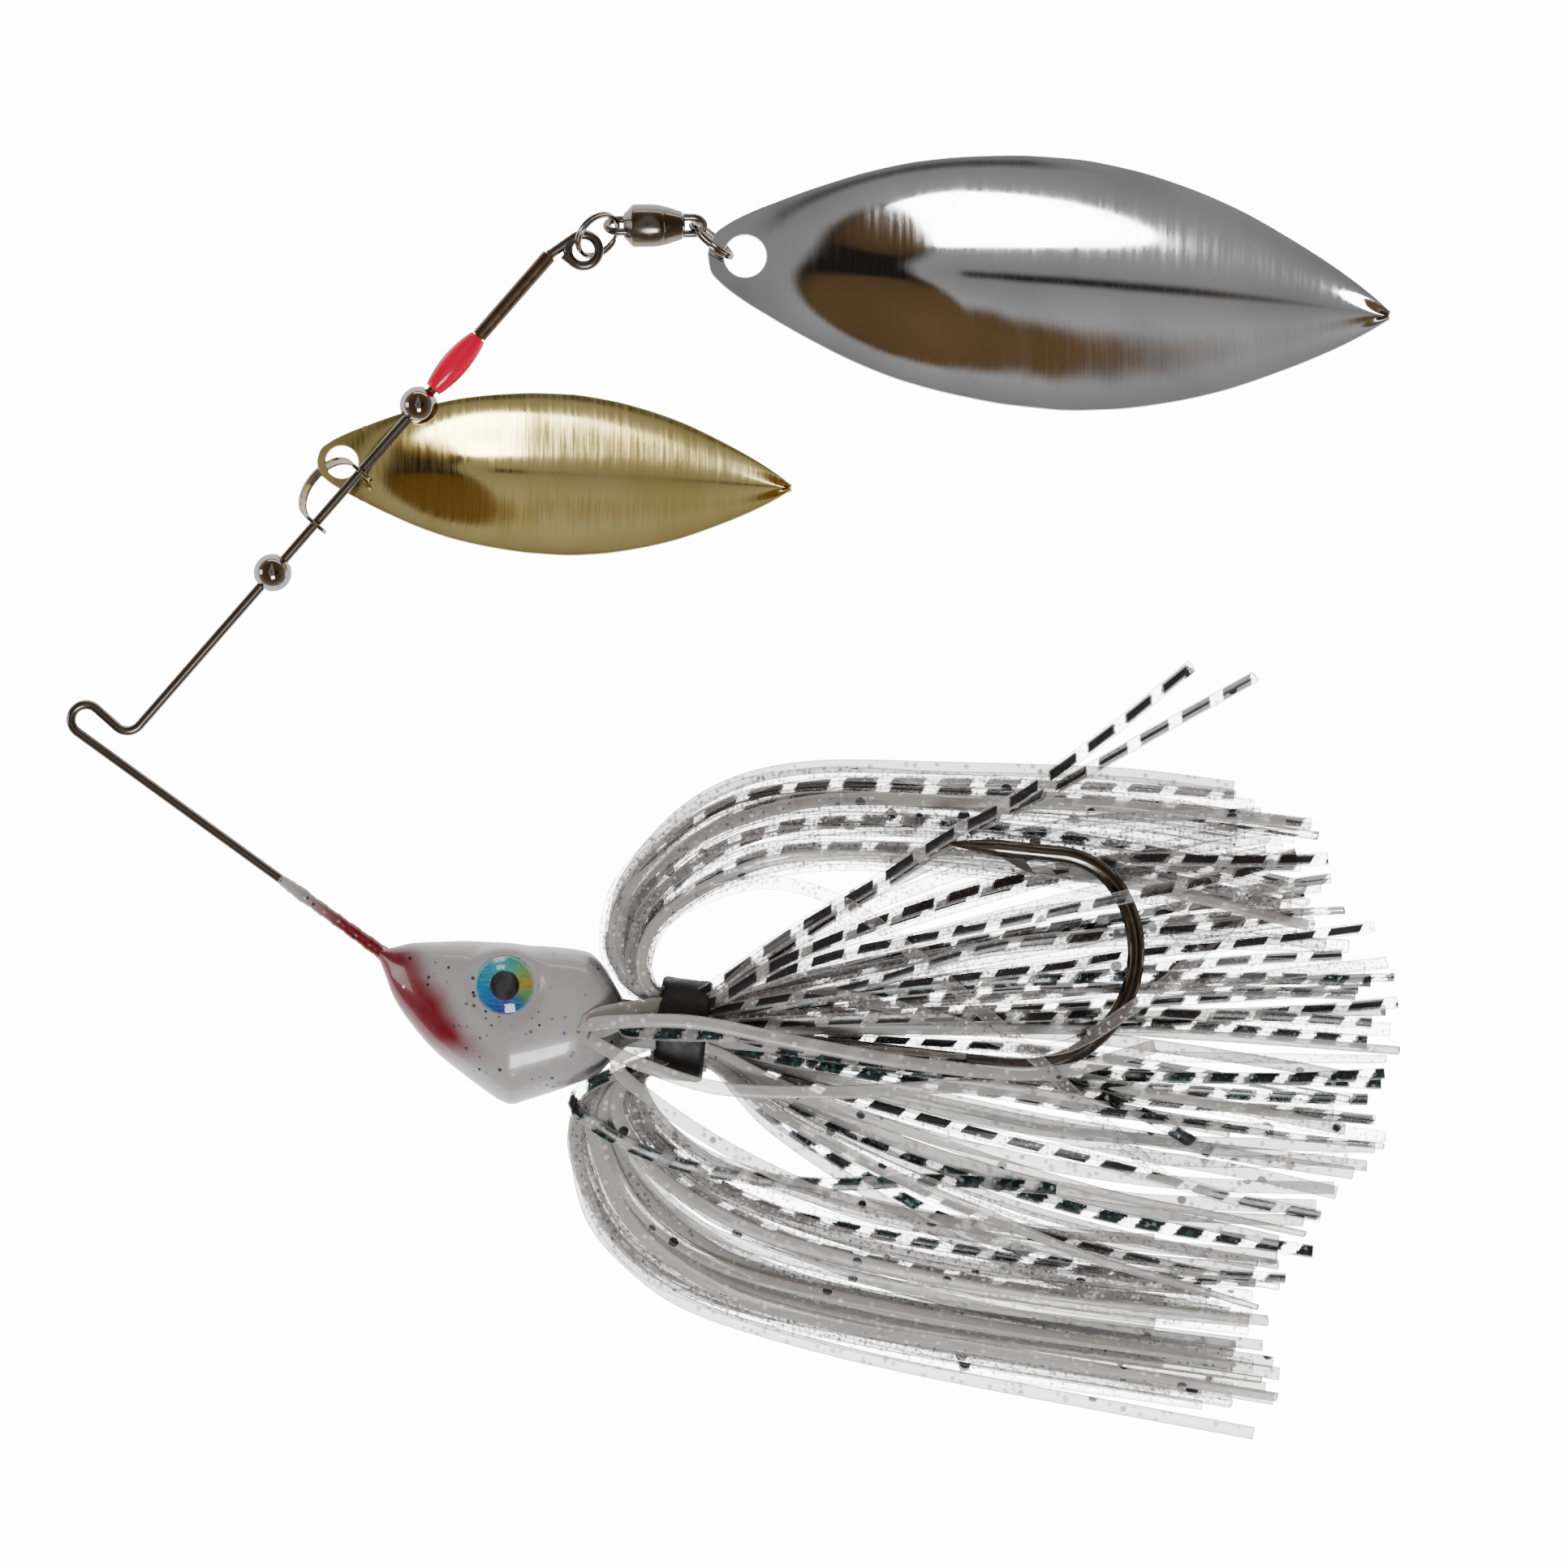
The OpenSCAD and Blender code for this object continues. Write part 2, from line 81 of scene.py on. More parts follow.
class Mat:
    """A node material with short helpers."""

    def __init__(self, name):
        self.m = bpy.data.materials.new(name)
        self.m.use_nodes = True
        self.t = self.m.node_tree
        self.n = self.t.nodes
        self.l = self.t.links
        self.b = self.n["Principled BSDF"]

    def new(self, kind, **props):
        node = self.n.new(kind)
        for k, v in props.items():
            setattr(node, k, v)
        return node

    def link(self, a, b):
        self.l.new(a, b)

    def set(self, **kw):
        for k, v in kw.items():
            name = k.replace("_", " ")
            if name in self.b.inputs:
                self.b.inputs[name].default_value = v

    def coords(self, scale=1.0, which="Object", rot=None, vscale=None):
        tc = self.new("ShaderNodeTexCoord")
        mp = self.new("ShaderNodeMapping")
        mp.inputs["Scale"].default_value = vscale or (scale, scale, scale)
        if rot:
            mp.inputs["Rotation"].default_value = rot
        self.link(tc.outputs[which], mp.inputs["Vector"])
        return mp.outputs["Vector"]

    def noise(self, vec, scale, detail=3.0, rough=0.5):
        n = self.new("ShaderNodeTexNoise")
        n.inputs["Scale"].default_value = scale
        n.inputs["Detail"].default_value = detail
        n.inputs["Roughness"].default_value = rough
        self.link(vec, n.inputs["Vector"])
        return n.outputs["Fac"]

    def voronoi(self, vec, scale, feature="F1", out="Distance"):
        n = self.new("ShaderNodeTexVoronoi", feature=feature)
        n.inputs["Scale"].default_value = scale
        self.link(vec, n.inputs["Vector"])
        return n

    def ramp(self, fac, stops, interp="LINEAR"):
        r = self.new("ShaderNodeValToRGB")
        r.color_ramp.interpolation = interp
        fill_ramp(r.color_ramp.elements, stops)
        self.link(fac, r.inputs["Fac"])
        return r.outputs["Color"]

    def math(self, op, a, b=None, clamp=False):
        m = self.new("ShaderNodeMath", operation=op, use_clamp=clamp)
        for i, v in enumerate((a, b)):
            if v is None:
                continue
            if isinstance(v, (int, float)):
                m.inputs[i].default_value = v
            else:
                self.link(v, m.inputs[i])
        return m.outputs[0]

    def mix(self, fac, a, b):
        m = self.new("ShaderNodeMix", data_type="RGBA")
        for sock, v in ((m.inputs["Factor"], fac), (m.inputs[6], a), (m.inputs[7], b)):
            if isinstance(v, (int, float)):
                sock.default_value = v
            elif isinstance(v, tuple):
                sock.default_value = v if len(v) == 4 else (*v, 1)
            else:
                self.link(v, sock)
        return m.outputs[2]

    def maprange(self, v, a, b, c=0.0, d=1.0, smooth=False):
        m = self.new("ShaderNodeMapRange", clamp=True)
        if smooth:
            m.interpolation_type = "SMOOTHSTEP"
        m.inputs[1].default_value = a
        m.inputs[2].default_value = b
        m.inputs[3].default_value = c
        m.inputs[4].default_value = d
        self.link(v, m.inputs[0])
        return m.outputs[0]

    def bump(self, h, strength=0.2, dist=0.0001, prev=None):
        b = self.new("ShaderNodeBump")
        b.inputs["Strength"].default_value = strength
        b.inputs["Distance"].default_value = dist
        self.link(h, b.inputs["Height"])
        if prev is not None:
            self.link(prev, b.inputs["Normal"])
        return b.outputs["Normal"]

    def color(self, v):
        self.link(v, self.b.inputs["Base Color"])

    def rough(self, v):
        self.link(v, self.b.inputs["Roughness"])

    def normal(self, v):
        self.link(v, self.b.inputs["Normal"])


def metal(name, base, dark, rough=(0.12, 0.25), scale=900.0, bump=0.06, streak=None):
    m = Mat(name)
    m.set(Metallic=1.0)
    v = m.coords(1.0)
    n = m.noise(v, scale, 4.0)
    big = m.noise(v, scale * 0.18, 2.0)
    m.color(m.mix(m.maprange(big, 0.25, 0.8), dark, base))
    m.rough(m.maprange(n, 0.3, 0.7, rough[0], rough[1]))
    h = n
    if streak:
        vs = m.coords(vscale=streak)
        h = m.noise(vs, 1.0, 2.0)
    m.normal(m.bump(h, bump, 0.00005))
    return m


# ------------------------------------------------------------------ mesh helpers
def make(name, verts, faces, mats, body, replaces=(), smooth=True, angle=40, uvs=None, matidx=None):
    me = bpy.data.meshes.new(name)
    me.from_pydata([tuple(c * MM for c in v) for v in verts], [], faces)
    me.validate()
    if uvs is not None:
        layer = me.uv_layers.new(name="UVMap")
        idx = np.zeros(len(me.loops), dtype=np.int32)
        me.loops.foreach_get("vertex_index", idx)
        arr = np.asarray(uvs, dtype=np.float32)[idx]
        layer.data.foreach_set("uv", arr.ravel())
    for m in mats:
        me.materials.append(m.m if isinstance(m, Mat) else m)
    if matidx is not None:
        me.polygons.foreach_set("material_index", matidx)
    bm = bmesh.new()
    bm.from_mesh(me)
    bmesh.ops.recalc_face_normals(bm, faces=bm.faces)
    bm.to_mesh(me)
    bm.free()
    ob = bpy.data.objects.new(name, me)
    scene.collection.objects.link(ob)
    if smooth:
        me.shade_smooth()
        me.set_sharp_from_angle(angle=math.radians(angle))
    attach(ob, body)
    if replaces:
        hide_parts(*replaces)
    return ob


def grid_faces(nr, ns, closed_r=False, off=0):
    """Faces of nr rings of ns points each."""
    f = []
    for i in range(nr if closed_r else nr - 1):
        a = off + i * ns
        b = off + ((i + 1) % nr) * ns
        for k in range(ns):
            k2 = (k + 1) % ns
            f.append((a + k, a + k2, b + k2, b + k))
    return f


def frames(path, closed=False, up=(0, 0, 1)):
    """Tangent, side and up vectors along a path by parallel transport."""
    P = np.asarray(path, dtype=float)
    n = len(P)
    if closed:
        T = np.roll(P, -1, 0) - np.roll(P, 1, 0)
    else:
        T = np.gradient(P, axis=0)
    T /= np.linalg.norm(T, axis=1)[:, None]
    u = np.array(up, float)
    if abs(np.dot(u, T[0])) > 0.9:
        u = np.array([0.0, 1.0, 0.0])
    S = np.zeros_like(T)
    U = np.zeros_like(T)
    s = np.cross(T[0], u)
    s /= np.linalg.norm(s)
    for i in range(n):
        s = s - np.dot(s, T[i]) * T[i]
        s /= np.linalg.norm(s)
        S[i] = s
        U[i] = np.cross(s, T[i])
    return P, T, S, U


def sweep(path, section, closed=False, scale=None, up=(0, 0, 1), twist=None):
    """Vertices and faces of a closed section swept along a path, capped if the path is open."""
    P, T, S, U = frames(path, closed, up)
    sec = np.asarray(section, float)
    ns = len(sec)
    V = []
    for i in range(len(P)):
        k = 1.0 if scale is None else scale[i]
        a = 0.0 if twist is None else twist[i]
        c, s = math.cos(a), math.sin(a)
        for q in sec:
            x, y = (q[0] * c - q[1] * s) * k, (q[0] * s + q[1] * c) * k
            V.append(P[i] + x * S[i] + y * U[i])
    F = grid_faces(len(P), ns, closed)
    if not closed:
        F.append(tuple(range(ns)))
        F.append(tuple((len(P) - 1) * ns + k for k in reversed(range(ns))))
    return [tuple(v) for v in V], F


def circle_sec(r, n=24):
    return [(r * math.cos(2 * math.pi * k / n), r * math.sin(2 * math.pi * k / n)) for k in range(n)]


def round_rect(w, h, r, n=3):
    out = []
    for cx, cy, a0 in ((w / 2 - r, h / 2 - r, 0), (-w / 2 + r, h / 2 - r, 90), (-w / 2 + r, -h / 2 + r, 180), (w / 2 - r, -h / 2 + r, 270)):
        for k in range(n + 1):
            a = math.radians(a0 + 90 * k / n)
            out.append((cx + r * math.cos(a), cy + r * math.sin(a)))
    return out


def lathe(profile, origin, axis, n=64):
    """Solid of revolution: profile is a closed loop of (radius, height), or open with both ends on the axis."""
    ax = Vector(axis).normalized()
    q = Vector((0, 0, 1)) if abs(ax.z) < 0.9 else Vector((1, 0, 0))
    e1 = ax.cross(q).normalized()
    e2 = ax.cross(e1)
    o = Vector(origin)
    V, ring = [], []
    for r, h in profile:
        if r < 1e-6:
            ring.append([len(V)])
            V.append(tuple(o + ax * h))
        else:
            ids = []
            for k in range(n):
                a = 2 * math.pi * k / n
                ids.append(len(V))
                V.append(tuple(o + ax * h + (e1 * math.cos(a) + e2 * math.sin(a)) * r))
            ring.append(ids)
    F = []
    closed = profile[0][0] > 1e-6
    m = len(ring)
    for i in range(m if closed else m - 1):
        a, b = ring[i], ring[(i + 1) % m]
        for k in range(n):
            k2 = (k + 1) % n
            if len(a) == 1 and len(b) == 1:
                continue
            if len(a) == 1:
                F.append((a[0], b[k2], b[k]))
            elif len(b) == 1:
                F.append((a[k], a[k2], b[0]))
            else:
                F.append((a[k], a[k2], b[k2], b[k]))
    return V, F


def join(parts):
    V, F = [], []
    for v, f in parts:
        o = len(V)
        V += list(v)
        F += [tuple(i + o for i in g) for g in f]
    return V, F


def spline(ctrl, step=0.8):
    """Catmull-Rom (uniform) through control points, resampled evenly."""
    C = np.asarray(ctrl, float)
    C = np.vstack([2 * C[0] - C[1], C, 2 * C[-1] - C[-2]])
    out = []
    for i in range(1, len(C) - 2):
        p0, p1, p2, p3 = C[i - 1], C[i], C[i + 1], C[i + 2]
        for t in np.linspace(0, 1, 24, endpoint=False):
            out.append(0.5 * ((2 * p1) + (-p0 + p2) * t + (2 * p0 - 5 * p1 + 4 * p2 - p3) * t * t + (-p0 + 3 * p1 - 3 * p2 + p3) * t ** 3))
    out.append(C[-2])
    out = np.array(out)
    d = np.concatenate([[0], np.cumsum(np.linalg.norm(np.diff(out, axis=0), axis=1))])
    n = max(4, int(d[-1] / step))
    s = np.linspace(0, d[-1], n)
    return np.stack([np.interp(s, d, out[:, k]) for k in range(3)], 1), s


def arc_pts(c, R, a0, a1, z, step=4.0):
    n = max(3, int(abs(a1 - a0) / step))
    return [(c[0] + R * math.cos(math.radians(a)), c[1] + R * math.sin(math.radians(a)), z) for a in np.linspace(a0, a1, n)]


# ------------------------------------------------------------------ driving sizes, the same as the CAD's, in mm
WZ = 6.2
AA = math.radians(48.9)
UD = np.array([math.cos(AA), math.sin(AA), 0.0])
UN = np.array([-math.sin(AA), math.cos(AA), 0.0])
P0 = np.array([-48.4, 21.6, WZ])


def arm(t):
    return P0 + t * UD


LA = math.radians(-35.9)
LD = np.array([math.cos(LA), math.sin(LA), 0.0])
TA = np.array([-67.55, 6.5, WZ])
L0 = TA + np.array([1.55 * math.sin(LA), -1.55 * math.cos(LA), 0.0])
GRIP = L0 + 49.45 * LD
SA = math.radians(-6.5)
SD = np.array([math.cos(SA), math.sin(SA), 0.0])
SN = np.array([-math.sin(SA), math.cos(SA), 0.0])
HEYE = GRIP + 1.9 * LD
S0 = HEYE + 1.9 * SN
COL = S0 + 20.45 * SD

# ------------------------------------------------------------------ materials
wire_m = metal("wire_steel_mat", (0.17, 0.155, 0.14), (0.14, 0.125, 0.11), (0.24, 0.30), 400.0, 0.0)
sleeve_m = metal("sleeve_steel_mat", (0.17, 0.125, 0.095), (0.10, 0.07, 0.05), (0.25, 0.42), 1200.0, 0.12)
ring_m = metal("ring_steel_mat", (0.34, 0.32, 0.30), (0.20, 0.18, 0.165), (0.06, 0.16), 1500.0, 0.05)
swivel_m = metal("swivel_mat", (0.24, 0.225, 0.21), (0.15, 0.135, 0.12), (0.14, 0.28), 1300.0, 0.08)
bead_m = metal("bead_mat", (0.34, 0.325, 0.31), (0.25, 0.235, 0.22), (0.03, 0.10), 1000.0, 0.04)
clevis_m = metal("clevis_mat", (0.36, 0.33, 0.29), (0.20, 0.18, 0.15), (0.08, 0.18), 1300.0, 0.05)
hook_m = metal("hook_mat", (0.20, 0.18, 0.16), (0.10, 0.085, 0.07), (0.10, 0.22), 900.0, 0.05)
ball_m = metal("ball_mat", (0.7, 0.7, 0.7), (0.55, 0.55, 0.55), (0.05, 0.12), 900.0, 0.03)

# nickel plate: mirror with faint orange peel and fine cross brushing; its colour is a little darker in the dents of the
# peel, following the bump's height
nick = Mat("nickel_plate_mat")
nick.set(Metallic=1.0)
v = nick.coords(1.0)
cross = nick.coords(vscale=(2600.0, 120.0, 120.0), rot=(0, 0, math.radians(-5)))
br = nick.noise(cross, 1.0, 3.0)
peel = nick.noise(v, 110.0, 2.0)
nick.color(nick.mix(nick.maprange(peel, 0.3, 0.7), (0.50, 0.50, 0.515), (0.60, 0.60, 0.605)))
nick.rough(nick.maprange(br, 0.3, 0.75, 0.045, 0.115))
nick.normal(nick.bump(peel, 0.10, 0.00022, nick.bump(br, 0.035, 0.00004)))

# gold plate: the same with warmer colour and coarser cross brushing
gold = Mat("gold_plate_mat")
gold.set(Metallic=1.0)
v = gold.coords(1.0)
cross = gold.coords(vscale=(3200.0, 160.0, 160.0), rot=(0, 0, math.radians(-3)))
br = gold.noise(cross, 1.0, 4.0)
peel = gold.noise(v, 150.0, 2.0)
gold.color(gold.mix(gold.maprange(peel, 0.3, 0.7), (0.60, 0.475, 0.16), (0.72, 0.59, 0.25)))
gold.rough(gold.maprange(br, 0.3, 0.75, 0.08, 0.22))
gold.normal(gold.bump(peel, 0.08, 0.0002, gold.bump(br, 0.10, 0.00005)))

# collar rubber
coll = Mat("collar_rubber_mat")
coll.set(Metallic=0.0, Specular_IOR_Level=0.22)
v = coll.coords(1.0)
n1 = coll.noise(v, 700.0, 5.0)
n2 = coll.noise(v, 160.0, 2.0)
coll.color(coll.mix(n2, (0.006, 0.006, 0.007), (0.022, 0.022, 0.024)))
coll.rough(coll.maprange(n1, 0.3, 0.7, 0.32, 0.55))
coll.normal(coll.bump(n1, 0.25, 0.00008))


def paint_material(name):
    """Pearl white powder paint with metal-flake glitter and a crimson throat that fades towards the eye."""
    m = Mat(name)
    m.set(Metallic=0.0, IOR=1.5, Coat_Weight=0.6, Coat_Roughness=0.05)
    tc = m.new("ShaderNodeTexCoord")
    sep = m.new("ShaderNodeSeparateXYZ")
    m.link(tc.outputs["Object"], sep.inputs[0])
    x, y, z = sep.outputs
    # distance in front of a slanted line through the throat, in metres
    t = m.math("ADD", m.math("MULTIPLY", x, 0.81), m.math("MULTIPLY", y, 0.583))
    wob = m.noise(m.coords(1.0), 260.0, 2.0)
    t = m.math("ADD", t, m.math("MULTIPLY", m.math("SUBTRACT", wob, 0.5), 0.0016))
    red = m.maprange(t, -0.0392, -0.0358, 1.0, 0.0, smooth=True)
    red = m.math("MULTIPLY", red, m.maprange(y, -0.0295, -0.0255, 0.0, 1.0, smooth=True))
    # on the wire the crimson fades into white paint, and that into nothing
    wirepink = m.maprange(x, -0.0475, -0.0405, 0.0, 1.0, smooth=True)
    red = m.math("MULTIPLY", red, wirepink)
    base = m.mix(m.noise(m.coords(1.0), 90.0, 2.0), (0.37, 0.375, 0.395), (0.45, 0.45, 0.465))
    col = m.mix(red, base, (0.16, 0.0025, 0.016))
    # glitter: sparse hard flakes, silver with a few violet and blue
    vo = m.voronoi(m.coords(1.0), 1500.0)
    spark = m.math("LESS_THAN", vo.outputs["Distance"], 0.30)
    pick = m.new("ShaderNodeSeparateColor")
    m.link(vo.outputs["Color"], pick.inputs[0])
    some = m.math("GREATER_THAN", pick.outputs[0], 0.66)
    dens = m.maprange(m.noise(m.coords(1.0), 320.0, 1.0), 0.40, 0.58)
    spark = m.math("MULTIPLY", m.math("MULTIPLY", spark, some), dens)
    flake = m.ramp(pick.outputs[1], [(0.0, (0.03, 0.03, 0.05)), (0.4, (0.12, 0.11, 0.20)), (0.62, (0.60, 0.60, 0.65)), (0.82, (0.08, 0.05, 0.28))], "CONSTANT")
    m.color(m.mix(spark, col, flake))
    m.link(m.math("MULTIPLY", spark, 0.7), m.b.inputs["Metallic"])
    m.rough(m.maprange(m.noise(m.coords(1.0), 900.0, 2.0), 0.3, 0.7, 0.20, 0.34))
    m.normal(m.bump(m.noise(m.coords(1.0), 420.0, 2.0), 0.10, 0.00008))
    return m


paint = paint_material("head_paint_mat")
paint.set(Subsurface_Weight=0.0)


def dress(node, m):
    ob = nodes[node]
    if not ob.material_slots:
        ob.data.materials.append(m.m)
    for s in ob.material_slots:
        s.material = m.m


dress("wire_form", wire_m)
dress("swivel_balls", ball_m)

# paint coat on the lower arm, thin and ragged at its far end, thick where it meets the nose
pc = []
pr = []
L_paint0, L_nose = 25.7, 39.6
for k, t in enumerate(np.linspace(L_paint0, L_nose, 70)):
    pc.append(L0 + t * LD)
    u = (t - L_paint0) / (L_nose - L_paint0)
    r = 0.505 + 0.13 * min(1, u * 9) + 0.16 * u ** 3 + 0.035 * math.sin(t * 3.1) * min(1, u * 5) + 0.02 * math.sin(t * 7.7)
    r += 0.10 * math.exp(-((t - 28.3) / 0.5) ** 2)
    pr.append(r)
V, F = sweep(pc, circle_sec(1.0, 28), scale=pr)
coat = make("paint_coat", V, F, [paint], "root", angle=60)

# ------------------------------------------------------------------ head
HS = [(-37.9, -17.35, -17.75, 0.05), (-37.4, -17.0, -18.3, 0.12), (-36.8, -16.95, -19.8, 0.21), (-36, -16.85, -21.9, 0.32), (-34, -16.4, -24.9, 0.52),
      (-31.7, -16.3, -27.5, 0.69), (-29, -16.2, -29.7, 0.84), (-26.3, -16.3, -31.7, 0.94), (-24.9, -16.4, -32.6, 0.98),
      (-23.8, -16.5, -32.95, 1), (-22.5, -16.65, -32.6, 1), (-19.8, -16.8, -31.75, 0.99), (-17.1, -17.1, -30.8, 0.95),
      (-15.9, -17.4, -30.3, 0.9), (-14.9, -18.2, -29.8, 0.82), (-13.5, -20.3, -28.4, 0.62), (-12.1, -22.7, -27.1, 0.4)]
H = np.array(HS)


def sgnpow(v, e):
    return math.copysign(abs(v) ** e, v)


def pchip(x, xs, ys):
    """Monotone cubic interpolation."""
    xs, ys = np.asarray(xs, float), np.asarray(ys, float)
    h = np.diff(xs)
    d = np.diff(ys) / h
    m = np.zeros_like(ys)
    m[0], m[-1] = d[0], d[-1]
    for i in range(1, len(xs) - 1):
        if d[i - 1] * d[i] > 0:
            w1, w2 = 2 * h[i] + h[i - 1], h[i] + 2 * h[i - 1]
            m[i] = (w1 + w2) / (w1 / d[i - 1] + w2 / d[i])
    i = np.clip(np.searchsorted(xs, x) - 1, 0, len(h) - 1)
    t = (x - xs[i]) / h[i]
    return ((1 + 2 * t) * (1 - t) ** 2 * ys[i] + t * (1 - t) ** 2 * h[i] * m[i] + t * t * (3 - 2 * t) * ys[i + 1] + t * t * (t - 1) * h[i] * m[i + 1])


EYE = np.array([-24.25, -21.25])
EYE_H = 4.9
NX, NK = 150, 96
hx = np.concatenate([np.linspace(-37.9, -36, 24, endpoint=False), np.linspace(-36, -16.4, 96, endpoint=False), np.linspace(-16.4, -12.1, 30)])
top = pchip(hx, H[:, 0], H[:, 1])
bot = pchip(hx, H[:, 0], H[:, 2])
hw = pchip(hx, H[:, 0], H[:, 3]) * 6.2
V = []
t8 = math.tan(math.radians(8))
for i, x in enumerate(hx):
    m_, q_ = (top[i] + bot[i]) / 2, (top[i] - bot[i]) / 2
    for k in range(NK):
        a = 2 * math.pi * k / NK
        y = m_ + q_ * sgnpow(math.cos(a), 0.8)
        z = hw[i] * sgnpow(math.sin(a), 0.8)
        # eye seat: the skin eases into a flat disc on each side
        s = 1 if z >= 0 else -1
        ey = EYE[1] + EYE_H * math.sin(math.radians(8))
        d = math.hypot(x - EYE[0], y - ey)
        plane = (EYE_H / math.cos(math.radians(8))) - (y - EYE[1]) * t8
        w = 1 - min(1, max(0, (d - 3.25) / 1.5))
        w = w * w * (3 - 2 * w)
        if abs(z) > 0.5 and w > 0:
            z = s * ((1 - w) * abs(z) + w * (plane - 0.02))
        V.append((x, y, WZ + z))
F = grid_faces(len(hx), NK)
F.append(tuple(range(NK)))
F.append(tuple((len(hx) - 1) * NK + k for k in reversed(range(NK))))
kp = [(0, -7.2), (2.55, -7.2), (2.45, -6.2), (2.4, -4), (2.4, 2.6), (2.2, 2.8), (0, 2.8)]
Vk, Fk = lathe(kp, COL, SD, 48)
V, F = join([(V, F), (Vk, Fk)])
head = make("head_casting", V, F, [paint], "root", ["head"], angle=50)

# ------------------------------------------------------------------ eyes
foil = Mat("eye_foil_mat")
foil.set(Roughness=0.22, Metallic=0.0, Coat_Weight=0.5, Coat_Roughness=0.03)
tc = foil.new("ShaderNodeTexCoord")
sp = foil.new("ShaderNodeSeparateXYZ")
sub = foil.new("ShaderNodeVectorMath", operation="SUBTRACT")
foil.link(tc.outputs["Object"], sub.inputs[0])
EC = (EYE[0] * MM, (EYE[1] + 0.68) * MM, 0)
sub.inputs[1].default_value = EC
foil.link(sub.outputs[0], sp.inputs[0])
dx = foil.math("DIVIDE", sp.outputs[0], 0.003)
dy = foil.math("DIVIDE", sp.outputs[1], 0.003)
rad = foil.math("SQRT", foil.math("ADD", foil.math("MULTIPLY", dx, dx), foil.math("MULTIPLY", dy, dy)))
ang = foil.math("ARCTAN2", dy, dx)
angn = foil.math("ADD", foil.math("DIVIDE", ang, 2 * math.pi), 0.5)
# turns round the ring: cyan at the left, blue-violet below, green-yellow to orange at the right
hue = foil.ramp(angn, [(0.0, (0.0, 0.40, 0.72)), (0.12, (0.0, 0.26, 0.78)), (0.25, (0.03, 0.06, 0.68)), (0.36, (0.02, 0.26, 0.60)),
                       (0.46, (0.34, 0.60, 0.10)), (0.52, (0.70, 0.42, 0.06)), (0.60, (0.26, 0.62, 0.18)), (0.72, (0.02, 0.55, 0.50)),
                       (0.86, (0.0, 0.50, 0.70)), (1.0, (0.0, 0.40, 0.72))])
lines = foil.noise(foil.coords(vscale=(600, 5200, 600), rot=(0, 0, 0.6)), 1.0, 2.0)
hue = foil.mix(foil.math("MULTIPLY", foil.maprange(lines, 0.50, 0.80), 0.30), hue, (0.45, 0.80, 0.85))
ringw = foil.maprange(rad, 0.90, 0.97, 0.0, 1.0)
hue = foil.mix(foil.math("MULTIPLY", ringw, 0.7), hue, (0.62, 0.80, 0.85))
pup = foil.maprange(rad, 0.465, 0.495, 1.0, 0.0)
foil.color(foil.mix(pup, hue, (0.004, 0.004, 0.005)))

resin = Mat("eye_resin_mat")
resin.set(IOR=1.46, Transmission_Weight=1.0, Roughness=0.015, Base_Color=(0.98, 0.99, 1.0, 1))
sc = resin.noise(resin.coords(1.0), 1500.0, 3.0)
resin.rough(resin.maprange(sc, 0.35, 0.8, 0.005, 0.035))

for side, nm in ((1, "upper"), (-1, "lower")):
    a8 = math.radians(8)
    ax = (0, math.sin(a8), side * math.cos(a8))
    o = np.array([EYE[0], EYE[1], WZ]) + np.array(ax) * EYE_H
    pf = [(0, 0), (2.96, 0), (3.0, 0.03), (3.0, 0.10), (2.98, 0.12), (0, 0.12)]
    V, F = lathe(pf, o, ax, 72)
    make(nm + "_eye_disc", V, F, [foil], "root", [nm + "_eye_foil"])
    cap = 0.75
    R = (9 + cap * cap) / (2 * cap)
    am = math.asin(3.0 / R)
    prof = [(0, 0.125)] + [(2.99, 0.125)] + [(R * math.sin(am * k / 26), R * math.cos(am * k / 26) - R + cap + 0.13) for k in range(26, 0, -1)] + [(0, cap + 0.13)]
    V, F = lathe(prof, o, ax, 72)
    make(nm + "_eye_lens", V, F, [resin], "root", [nm + "_eye_dome"], angle=50)

# ------------------------------------------------------------------ hook
s1 = S0 + 54.0 * SD
BC = s1 + 11.9 * SN
BD = BC + 3.9 * np.array([math.cos(math.radians(30)), math.sin(math.radians(30)), 0])
leg = BD + 8 * np.array([math.cos(math.radians(84)), math.sin(math.radians(84)), 0])
lv = np.array([math.cos(math.radians(174)), math.sin(math.radians(174)), 0])
path = arc_pts(HEYE, 1.9, 353.5, 83.5, WZ, 7)[:-1]
path += [tuple(S0 + SD * t) for t in np.linspace(0, 54, 60)][:-1]
path += arc_pts(BC, 11.9, -96.5, 30, WZ, 2.2)[:-1]
path += arc_pts(BD, 8, 30, 84, WZ, 2.5)[:-1]
path += [tuple(leg + lv * t) for t in np.linspace(0, 11.9, 30)]
path = np.array(path)
d = np.concatenate([[0], np.cumsum(np.linalg.norm(np.diff(path, axis=0), axis=1))])
tot = d[-1]
sc = []
for t in d:
    e = tot - t
    r = 0.9
    if e < 5.2:
        r = 0.05 + 0.85 * (e / 5.2) ** 0.72
    sc.append(r)
